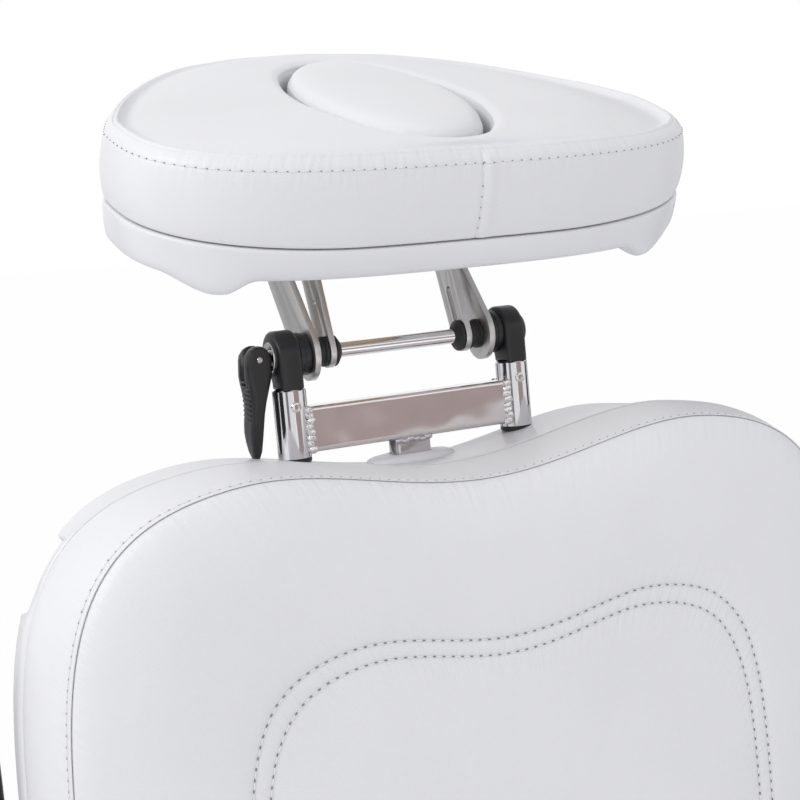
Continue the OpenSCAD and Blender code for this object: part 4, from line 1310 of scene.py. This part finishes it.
@dataclass
class HeadClamp:
    """Rod, bumpers, collars, elbows, cam lever, socket tubes, cross tube and mast."""

    rod_r: float = 5
    elbow_in: float = 74.75
    elbow_out: float = 90.25
    elbow_r: float = 17
    pin_x: float = 101.05
    socket_x: float = 82.5
    socket_r: float = 11
    cross_h: float = 30
    cross_d: float = 17
    weld_ripples: int = 8
    weld_pitch: float = 3.7
    mast_w: float = 25
    mast_d: float = 15
    ribs: int = 9
    rib_pitch: float = 3.1

    def rod(self) -> None:
        """The polished rod with its flattened eye for the lever's pin."""
        a, b, r = -self.elbow_out - 1.5, self.elbow_out, self.rod_r
        mould = Mould("tilt_rod_polished")
        mould.lathe([(a, 0), (a, r - 0.5), (a + 0.5, r), (b - 0.5, r), (b, r - 0.5), (b, 0)])
        mould.block((14, 7, 10), (a - 7.2, 0, 0), 1.2)
        mould.piece(Place.ROD, "head_mast", CHROME, ["tilt_rod"])

    def bumpers(self) -> None:
        """The rubber cones, the spacers between the arms and the collars against the elbows."""
        spun("rod_bumper_cones", [(47.7, BORE), (47.7, 9.9), (47.1, 10.5), (45.9, 10.5), (45.2, 10), (43, 7),
                                  (42.6, 6.4), (42.4, BORE)], Place.ROD, BLACK_RUBBER, ["rod_bumpers"])
        spun("arm_spacer_rings", [(52, BORE), (52, 9.6), (52.5, 10), (54.6, 10), (55.2, 9.2), (58.8, 9.2), (59.4, 10),
                                  (61.5, 10), (62, 9.6), (62, BORE)], Place.HEAD, BLACK_RUBBER, ["arm_spacers"],
             body="headrest")
        spun("clamp_collar_rings", [(66.3, BORE), (66.3, 13.2), (67, 14), (70.6, 14), (71, 14.5), (74.3, 14.5),
                                    (74.75, 14), (74.75, BORE)], Place.ROD, BLACK_PLASTIC, ["clamp_collars"])

    def elbow_outline(self) -> list[tuple[float, float]]:
        """The elbow's side: a disc whose front runs down flush into the stem.

        Returns:
            The outline's points as y and z.
        """
        r, low = self.elbow_r, -21.2
        points = [(r * cos(radians(a)), r * sin(radians(a))) for a in range(-28, 181, 7)]
        stem = -r + 19.6
        fillet = [(stem + 0.2, low), (stem + 0.5, low + 4), (stem + 2.2, low + 8.2), (stem + 6.2, low + 11.2)]
        return points + [(-r, -8), (-r, low)] + fillet

    def elbows(self) -> None:
        """The two moulded elbows and their stubs in the socket tubes."""
        mould = Mould("elbow_mouldings")
        mould.plate(self.elbow_outline(), self.elbow_out - self.elbow_in, self.elbow_in, 2.6, 4)
        mould.lathe([(0, BORE), (0, 12), (0.6, 12.4), (0.9, BORE)], centre=(self.elbow_out - 0.4, 0, 0))
        mould.mirrored().piece(Place.ROD, "head_mast", BLACK_PLASTIC, ["elbow_joints"], 32)
        spun("elbow_stubs", [(-9, 0), (-9, 8.9), (27.2, 8.9), (27.2, 0)], Place.MAST, BLACK_PLASTIC, [], "Z",
             (self.socket_x, 0, 0))

    def lever(self) -> None:
        """The cam lever: forked round head, ribbed grip and slim tip."""
        stations = [(8.8, -1.4, 1.4, 7.5), (8.2, -3.3, 3.3, 9.2), (6.8, -5.6, 5.6, 9.9), (3.6, -8, 8, 10),
                    (0, -8.8, 8.8, 10), (-5, -9.2, 7.9, 10), (-10, -9.6, 8, 10), (-15, -9.2, 6.4, 10),
                    (-21, -8.2, 4.4, 10), (-28, -7.7, 2.2, 9.8), (-35, -8.2, 0.6, 9.6), (-41, -9.2, -0.4, 9.3),
                    (-47, -9.8, -1.2, 8.6), (-53, -9.7, -1.8, 7.4), (-59, -9, -2.4, 5.8), (-63, -8, -3.4, 4),
                    (-65.2, -6.6, -4.8, 2)]
        rings = []
        for z, a, b, w in stations:
            bar = BarOutline((b - a) / 2, w, min(2.4, (b - a) / 2))
            ring = [Vector((*bar.at(0, FULL * k / 48), z)) for k in range(48)]
            rings.append([p + Vector(((a + b) / 2, 0, 0)) for p in ring])
        mould = Mould("cam_lever_moulding").loft(rings).place(moved(-self.pin_x, 0, 0))
        obj = mould.piece(Place.ROD, "clamp_lever", BLACK_PLASTIC, ["cam_lever"], 34)
        ribs = Mould("cam_lever_ribs")
        for k in range(self.ribs):
            z = -13.5 - self.rib_pitch * k
            ribs.block((1.6, 13, 1.5), (0.8 * bell(z + 27, 11) - 8.9 - self.pin_x, 0, z), 0.5, 2)
        ribs.piece(Place.ROD, "clamp_lever", BLACK_PLASTIC, ["cam_lever"])
        carve(obj, Mould("slot").block((30, 7.8, 40), (-self.pin_x, 0, 3), 0.8), Place.ROD)
        spun("cam_lever_pin_bright", [(-10.3, 0), (-10.3, 1.6), (-9.9, 2), (9.9, 2), (10.3, 1.6), (10.3, 0)], Place.ROD,
             SCREW_STEEL, ["cam_lever_pin"], "Y", (-self.pin_x, 0, 0), 32, False, "clamp_lever")

    def washers(self) -> None:
        """The lever's washer and the nut on the rod's other end."""
        a, b = -self.elbow_out, self.elbow_out
        spun("cam_washer_bright", [(a, BORE), (a, 10), (a - 0.3, 10.2), (a - 1.2, 10.2), (a - 1.5, 10),
                                   (a - 1.5, BORE)], Place.ROD, SCREW_STEEL, ["cam_washer"], both=False)
        spun("rod_end_cap", [(b, 0), (b, 12), (b + 2.4, 11.6), (b + 4.2, 10.2), (b + 4.9, 8), (b + 5, 0)], Place.ROD,
             BLACK_PLASTIC, ["rod_end_nut"], both=False)

    def tubes(self) -> None:
        """The two socket tubes with their slits, caps and set screws."""
        r, middle = self.socket_r, (self.socket_x, 0, 0)
        obj = spun("socket_tubes_chrome", [(-18, 9), (-18, r - 0.5), (-17.5, r), (26.3, r), (27, r - 0.6), (27, 9),
                                           (-18, 9)], Place.MAST, SOCKET_CHROME_SHADED, ["socket_tubes"], "Z", middle, 72,
                   sharp=30)
        carve(obj, Mould("slit").block((8, 1.6, 24), (self.socket_x + r, 0, 17), 0.3).mirrored(), Place.MAST)
        spun("socket_tube_caps", [(-21, 0), (-21, r - 0.9), (-20.4, r - 0.2), (-18.3, r), (-18, r - 0.3), (-18, 0)],
             Place.MAST, BLACK_PLASTIC, ["socket_end_caps"], "Z", middle)
        spun("socket_screw_heads", [(-9, 0), (-9, 3.5), (-11.4, 3.5), (-12, 2.9), (-12.2, 1.9), (-10.6, 1.7),
                                    (-10.6, 0)], Place.MAST, SCREW_STEEL, ["socket_set_screws"], "Y",
             (self.socket_x, 0, 16), 32, sharp=30)

    def cross(self) -> None:
        """The cross tube, its rippled welds and the mast below it."""
        half = self.socket_x - self.socket_r + 0.6
        bar = BarOutline(self.cross_h / 2, self.cross_d / 2, 2.8)
        turns = bar.turns(96)
        rings = [[Vector((x, p.y, p.x)) for p in bar.ring(turns, 0, 0)] for x in (-half, -half / 2, 0, half / 2, half)]
        Mould("cross_tube_chrome").loft(rings).piece(Place.MAST, "head_mast", CROSS_CHROME_PINK_REFLECTION, ["cross_tube"], 30)
        weld = Mould("weld_ripples")
        for side in (1, -1):
            y = side * self.cross_d / 2
            for k in range(self.weld_ripples):
                z = -13 + self.weld_pitch * k
                wob = 0.9 * sin(k * 2.3 + side)
                turn = turned(24 * sin(k * 1.7), "Y")
                weld.ball((3.3, 1.7, 2.7), (self.socket_x - 9.4 + wob, y - side * 0.3, z), 18, 12, turn)
        weld.mirrored()
        weld.piece(Place.MAST, "head_mast", WELD_CHROME_PINK_REFLECTION, ["weld_beads"], 30)
        mast = BarOutline(self.mast_w / 2, self.mast_d / 2, 1.8)
        turns = mast.turns(64)
        column = Mould("mast_chrome").loft([mast.ring(turns, 0, z) for z in (-345, -200, -60, -14.2)])
        for k in range(6):
            column.ball((2.9, 1.5, 1.9), (-10.6 + 4.3 * k, -7.4, -16 - 0.6 * sin(k * 2.1)), 16, 10)
        column.piece(Place.MAST, "head_mast", MAST_CHROME_SHADED, ["mast"], 30)

    def build(self) -> None:
        """Makes the clamp."""
        for make in (self.rod, self.bumpers, self.elbows, self.lever, self.washers, self.tubes, self.cross):
            make()
        for node in ("inner_arms", "outer_arms", "arm_mount_strips"):
            refined(node, BRIGHT_STEEL, "headrest", 0.45)
        refined("plug_board", PLYWOOD, "breath_plug", 0.5, 1)


# ---- shells ----


@dataclass
class BackShell:
    """The moulded shell of the backrest: thin rim, deep top round the mast and deeper side bands."""

    outline: PanelOutline
    edge: float = -15
    block_x: float = 246
    block_low: float = 640
    side_x: float = 200
    side_top: float = 638

    def weights(self, x: float, y: float) -> tuple[float, float]:
        """How much a place belongs to the deep top and to the side bands.

        Args:
            x: Distance across.
            y: Distance up.

        Returns:
            The shares of the deep top and of the side bands.
        """
        top = step(y, self.block_low - 30, self.block_low - 8)
        deep = (1 - step(abs(x), self.block_x - 1.5, self.block_x + 2.5)) * top
        side = (1 - step(y, self.side_top - 3, self.side_top + 3)) * step(abs(x), self.side_x - 8, self.side_x + 8)
        return deep, side

    def build(self) -> None:
        """Makes the shell."""
        spread = (-5, -3, -1.5, -0.5, 0.5, 1.5, 3)
        extra = [t for x in spread for t in self.crossing(self.block_x + x)]
        turns = self.outline.turns(300, extra)
        base = self.outline.ring(turns, self.edge, 0)
        thin = [(4, 0), (0.8, 0), (0, -0.8), (0, -5), (0.3, -8), (3, -11), (8, -16.5), (13, -22), (17, -25.2),
                (22, PAN), (34, PAN)]
        side = [(4, 0), (0.8, 0), (0, -0.8), (-1.2, -5), (-1.6, -8), (-1.6, -12), (-1.6, -18), (0.2, -22.6), (3.4, -26),
                (8.5, PAN), (34, PAN)]
        deep = [(4, 0), (0.8, 0), (0, -0.8), (0.4, -4), (1.8, -8), (4.4, -13), (6.8, -19), (9, PAN), (11, -46),
                (14, -70), (24, -79)]
        rings = []
        for k in range(len(thin)):
            ring = []
            for j, t in enumerate(turns):
                w_deep, w_side = self.weights(base[j].x, base[j].y)
                i, z = (a * (1 - w_side) + b * w_side for a, b in zip(thin[k], side[k]))
                i, z = (a * (1 - w_deep) + b * w_deep for a, b in zip((i, z), deep[k]))
                ring.append(Vector((*self.outline.at(self.edge + i, t), z)))
            rings.append(ring)
        for inset, low_y, z in ((44, 655, -79), (54, 646, -79), (57, 642, -77), (60, 640.5, -72), (64, 640, -40),
                                (67, 639, -29), (72, 636, PAN), (120, 590, PAN), (200, 520, PAN)):
            ring = []
            for j, t in enumerate(turns):
                w = self.weights(base[j].x, base[j].y)[0]
                x, y = self.outline.at(self.edge + inset, t)
                ring.append(Vector((x, y * (1 - w) + low_y * w, PAN * (1 - w) + z * w)))
            rings.append(ring)
        obj = Mould("back_shell_moulding").loft(rings).piece(Place.PANEL, "backrest", WHITE_PLASTIC, ["back_shell"], 40)
        carve(obj, Mould("hole").block((32.4, 22.4, 170), (0, 55, 690)), Place.BACK)

    def crossing(self, x: float) -> list[float]:
        """Angles at which the upper edge passes a distance from the middle.

        Args:
            x: The distance.

        Returns:
            The angles in radians.
        """
        fine = [pi * k / 2000 for k in range(2001)]
        over = [abs(self.outline.at(self.edge, t)[0]) - x for t in fine]
        return [t for t, a, b in zip(fine, over, over[1:]) if a * b < 0]


def grommet() -> None:
    """The white oval collar that the mast passes through."""
    oval = OvalOutline(0, 31.5, 15.5, 2.3)
    hole = BarOutline(12.8, 7.8, 1.6)
    turns = oval.turns(96)
    rings = [oval.ring(turns, inset, z) for inset, z in ((1.2, -4), (0, -3), (0, 2), (0.7, 3.2), (2.2, 4), (4.6, 4.9))]
    angles = oval.angles(rings[0])
    rings += [hole.ring(angles, inset, z) for inset, z in ((-1.4, 5.6), (-0.4, 5.4), (0, 4.8), (0, -4))]
    mould = Mould("mast_grommet_moulding").loft(rings, loop=True).place(moved(0, 55, 681.5))
    mould.piece(Place.BACK, "backrest", WHITE_PLASTIC, ["mast_grommet"], 45)


@dataclass
class PanShell:
    """A plain moulded pan under the seat or the leg cushion."""

    name: str
    node: str
    body: str
    place: Place
    outline: PanelOutline
    edge: float = -15

    def build(self) -> None:
        """Makes the pan."""
        turns = self.outline.turns(200)
        rows = [(4, 0), (0.8, 0), (0, -0.8), (0, -8), (0.7, -15), (2.2, -21), (5, -25.2), (9.5, PAN), (30, PAN),
                (120, PAN)]
        rings = [self.outline.ring(turns, self.edge + i, z) for i, z in rows]
        Mould(self.name).loft(rings).piece(self.place, self.body, WHITE_PLASTIC, [self.node], 40)


# ---- armrests ----


@dataclass
class Armrest:
    """One armrest: padded top on a flat steel bar with a hub."""

    side: Side
    side_x: float = 292
    pivot_y: float = 42
    pivot_z: float = 240
    width: float = 56
    length: float = 350
    thick: float = 34

    @property
    def label(self) -> str:
        """The side's name, as the nodes and bodies end."""
        return self.side.name.lower()

    def pad(self) -> None:
        """The padded top with its side seam."""
        half = self.width / 2
        bar = BarOutline(half, self.length / 2, half, self.length / 2)
        turns = bar.turns(150)
        rows = [(5, 0.3), (2, 0.8), (0.4, 3), (-0.3, 8), (-0.5, 14), (-0.2, 19.2), (0.15, 20.4), (0.8, 21), (0.3, 21.6),
                (0.5, 23.5), (2, 27.4), (5, 30.6), (9, 32.6), (14, 33.6), (20, 33.9), (26, 34)]
        rings = [bar.ring(turns, i, z) for i, z in rows]
        seams = [1 if 18 < z < 24 else 0.2 for _, z in rows]
        mould = Mould(f"armrest_pad_{self.label}_leather").loft(rings, seams=seams)
        place = moved(self.side_x + half, self.pivot_y - 7, self.pivot_z + 18)
        mould.place(place @ turned(180, "Z") @ turned(90))
        obj = self.sided(mould, BLACK_LEATHER, "armrest_pad_", SMOOTH, 1)

    def bar(self) -> None:
        """The flat bar and the round hub on the pivot."""
        r, w = 15, self.width
        mould = Mould(f"armrest_bar_{self.label}_steel")
        mould.lathe([(0, 8.1), (0, r - 1.2), (1.2, r), (w - 1.8, r), (w, r - 1.8), (w, 9), (w - 1.2, 8), (w - 1.2, 0)],
                    centre=(self.side_x, self.pivot_y, self.pivot_z))
        mould.block((30, 8, 305), (self.side_x + w / 2, self.pivot_y - 11, self.pivot_z + 152.5), 1.4)
        self.sided(mould, BLACK_STEEL, "armrest_bar_", 35, 0)

    def sided(self, mould: Mould, finish: Finish, node: str, sharp: float, levels: int) -> Piece:
        """Moves a mould to its side and makes the piece.

        Args:
            mould: The piece, drawn for the right side.
            finish: What it is made of.
            node: The CAD node's name before its side.
            sharp: Angle in degrees past which an edge stays crisp.
            levels: Subdivision levels.

        Returns:
            The new object.
        """
        if self.side is Side.LEFT:
            mould.flipped()
        return mould.piece(Place.BACK, "armrest_" + self.label, finish, [node + self.label], sharp, levels)

    def build(self) -> None:
        """Makes the armrest."""
        self.pad()
        self.bar()


# ---- frames, drives, column and base ----


@dataclass
class Underframe:
    """Steel frames, drives, lift column and base, with their edges broken."""

    rows: tuple[tuple, ...] = (
        ("back_rails", WHITE_STEEL, "backrest", 1.6), ("back_crossbars", WHITE_STEEL, "backrest", 1.6),
        ("back_crank", WHITE_STEEL, "backrest", 1), ("arm_brackets", WHITE_STEEL, "backrest", 1.2),
        ("seat_rails", WHITE_STEEL, "seat_frame", 1.6), ("seat_crossbars", WHITE_STEEL, "seat_frame", 1.6),
        ("column_head_plate", WHITE_STEEL, "seat_frame", 1), ("leg_rails", WHITE_STEEL, "leg_rest", 1.6),
        ("leg_crank", WHITE_STEEL, "leg_rest", 1), ("back_actuator", BLACK_PLASTIC, "seat_frame", 1.6, 3),
        ("leg_actuator", BLACK_PLASTIC, "seat_frame", 1.6, 3), ("back_actuator_rod", SCREW_STEEL, "back_push_rod"),
        ("leg_actuator_rod", SCREW_STEEL, "leg_push_rod"), ("lift_actuator", BLACK_STEEL, "base"),
        ("lift_rod", SCREW_STEEL, "seat_frame", 0.6), ("back_hinge_pins", SCREW_STEEL, "backrest", 0.6),
        ("leg_hinge_pins", SCREW_STEEL, "leg_rest", 0.6), ("mast_receiver", GREY_STEEL, "backrest"),
        ("column_outer_tube", WHITE_STEEL, "base", 2.2, 3), ("column_middle_tube", COLUMN_ALU, "column_middle", 1.8, 3),
        ("column_top_tube", COLUMN_ALU, "seat_frame", 1.8, 3), ("base_plate", GREY_STEEL, "base", 1.2),
        ("base_cover", WHITE_PLASTIC, "base", 2, 3, 40, 35), ("levelling_feet", BLACK_RUBBER, "base", 2, 3),
        ("mains_inlet", BLACK_PLASTIC, "base", 0.6), ("handset_socket", BLACK_PLASTIC, "base", 0.4))

    def build(self) -> None:
        """Dresses each node."""
        for row in self.rows:
            refined(*row)


# ---- studio ----


@dataclass
class Studio:
    """Camera, lamps, white surroundings and the cards that polished steel reflects."""

    eye: Vector = field(default_factory=lambda: Vector((-0.4219, -0.44408, 1.54518)))
    right: Vector = field(default_factory=lambda: Vector((0.9008, -0.4343, 0.0007)))
    up: Vector = field(default_factory=lambda: Vector((0.124, 0.2587, 0.958)))
    lens: float = 67.5
    ambient: float = 0.74
    key: float = 38
    fill: float = 14

    def camera(self) -> None:
        """The camera at the photograph's view."""
        data = bpy.data.cameras.new("camera")
        data.lens, data.sensor_width = self.lens, 36
        obj = shown("camera", data)
        right = self.right.normalized()
        back = right.cross(self.up).normalized()
        up = back.cross(right)
        turn = Matrix((right, up, back)).transposed().to_4x4()
        obj.matrix_world = Matrix.Translation(self.eye) @ turn
        bpy.context.scene.camera = obj

    def lamp(self, name: str, place: Sequence[float], aim: Sequence[float], size: float, power: float,
             colour: Sequence[float] = (1, 1, 1)) -> None:
        """Adds a square area lamp.

        Args:
            name: Its name.
            place: Where it hangs, in metres.
            aim: Where it points.
            size: Length of its side.
            power: Power in watts.
            colour: The light's colour.
        """
        data = bpy.data.lights.new(name, "AREA")
        data.shape, data.size, data.energy, data.color = "SQUARE", size, power, colour
        obj = shown(name, data)
        way = Vector(aim) - Vector(place)
        obj.matrix_world = Matrix.Translation(place) @ way.to_track_quat("-Z", "Y").to_matrix().to_4x4()

    def world(self) -> None:
        """White to the camera and in reflections, softer as light."""
        nodes = Nodes(bpy.data.worlds.new("surroundings"))
        soft = nodes.tree.nodes["Background"]
        soft.inputs["Color"].default_value = (0.97, 0.975, 1, 1)
        soft.inputs["Strength"].default_value = self.ambient
        white = nodes.add("Background", Color=(1, 1, 1, 1))
        path = nodes.add("LightPath")
        seen = path.outputs["Is Camera Ray"]
        for name in ("Is Glossy Ray", "Is Transmission Ray"):
            most = nodes.add("Math", operation="MAXIMUM")
            nodes.join(seen, most.inputs[0])
            nodes.join(path.outputs[name], most.inputs[1])
            seen = most.outputs[0]
        nodes.blend(seen, soft.outputs[0], white.outputs[0], "World Output")
        bpy.context.scene.world = nodes.owner

    def floor(self) -> None:
        """The pale floor, which keeps the chair's shadow."""
        nodes = Nodes(bpy.data.materials.new("studio floor"))
        nodes.plain(Base_Color=(0.86, 0.86, 0.87, 1), Roughness=0.7, Specular_IOR_Level=0.1)
        glow = nodes.add("Emission", Color=(1, 1, 1, 1), Strength=1)
        path = nodes.add("LightPath")
        share = nodes.add("Math", operation="MULTIPLY")
        share.inputs[1].default_value = 0.97
        nodes.join(path.outputs["Is Camera Ray"], share.inputs[0])
        nodes.blend(share.outputs[0], nodes.shader.outputs[0], glow.outputs[0], "Material Output")
        mould = Mould("studio_floor")
        bmesh.ops.create_grid(mould.bm, x_segments=1, y_segments=1, size=7000)
        self.stand(mould, nodes.owner)

    def card(self, name: str, place: Sequence[float], aim: Sequence[float], size: Sequence[float],
             colour: Sequence[float]) -> None:
        """A card that only polished surfaces see.

        Args:
            name: Its name.
            place: Where it stands, in metres.
            aim: Where it faces.
            size: Width and height.
            colour: Its glow.
        """
        nodes = Nodes(bpy.data.materials.new(name))
        nodes.plain(Base_Color=(0, 0, 0, 1), Roughness=1, Emission_Color=(*colour, 1), Emission_Strength=1,
                    Specular_IOR_Level=0)
        mould = Mould(name)
        bmesh.ops.create_grid(mould.bm, x_segments=1, y_segments=1, size=500)
        bmesh.ops.scale(mould.bm, vec=(size[0], size[1], 1), verts=mould.bm.verts)
        way = (Vector(aim) - Vector(place)).to_track_quat("Z", "Y").to_matrix().to_4x4()
        mould.place(Matrix.Translation(Vector(place) / MM) @ way)
        obj = self.stand(mould, nodes.owner)
        obj.visible_camera = obj.visible_diffuse = obj.visible_shadow = obj.visible_transmission = False

    def stand(self, mould: Mould, material: bpy.types.Material) -> Piece:
        """Adds a piece of the studio.

        Args:
            mould: Its shape.
            material: Its material.

        Returns:
            The new object.
        """
        obj = shown(mould.name, mould.mesh(30))
        obj.data.materials.append(material)
        return obj

    def build(self) -> None:
        """Makes the studio."""
        self.world()
        self.floor()
        aim = (0, 0.3, 1.1)
        self.lamp("key", (-2.5, 0.15, 3), aim, 1.8, self.key)
        self.lamp("fill", (1.5, -3, 0.9), aim, 2.4, self.fill)
        middle = (0, 0.42, 1.25)
        for name, place, size, colour in (
                ("warm card", (1.7, -2.9, 1.5), (2.6, 2.2), (0.40, 0.34, 0.33)),
                ("dark card left", (-2.5, -0.1, 1.2), (1.3, 2.2), (0.03, 0.03, 0.03)),
                ("dark card behind left", (-1.3, 2.7, 1.2), (0.6, 2.2), (0.08, 0.08, 0.08)),
                ("grey card", (-1.9, -2, 1.3), (0.8, 1.6), (0.26, 0.25, 0.26)),
                ("dark card right", (2.6, 0.6, 1.2), (1, 2.2), (0.05, 0.045, 0.045)),
                ("dark card behind right", (1.9, 2.3, 1.2), (0.8, 2.2), (0.05, 0.045, 0.045))):
            self.card(name, place, middle, size, colour)
        bpy.context.scene.view_settings.view_transform = "Standard"


# ---- the whole chair ----


@dataclass
class Chair:
    """All the visible pieces of the chair."""

    back: PanelOutline = PanelOutline(half_w=271.5, low=30, high=701.5, low_round=8, high_round=5.6, out_share=0.36,
                                      in_share=1.1, dip=21, hump=160)
    seat: PanelOutline = PanelOutline(half_w=268, low=-329.6, high=160.4, low_round=6, high_round=8)
    leg: PanelOutline = PanelOutline(half_w=256, low=-480, high=-20, low_round=4, high_round=7)

    def build(self) -> None:
        """Makes every group in order."""
        HeadCushion().build()
        HeadTray().build()
        HeadClamp().build()
        SewnPanel("back_leather", "back_cushion", "backrest", Place.PANEL, self.back).build()
        BackShell(self.back).build()
        grommet()
        for name, body, place, outline in (("seat", "seat_frame", Place.SEAT, self.seat),
                                           ("leg", "leg_rest", Place.LEG, self.leg)):
            SewnPanel(name + "_leather", name + "_cushion", body, place, outline, columns=180).build()
            PanShell(name + "_shell_moulding", name + "_shell", body, place, outline).build()
        for side in Side:
            Armrest(side).build()
        Underframe().build()


def main() -> None:
    """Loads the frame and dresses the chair."""
    logging.basicConfig(level=logging.INFO, format="%(message)s")
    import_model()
    studio = Studio()
    studio.camera()
    Chair().build()
    studio.build()


if __name__ == "__main__":
    main()
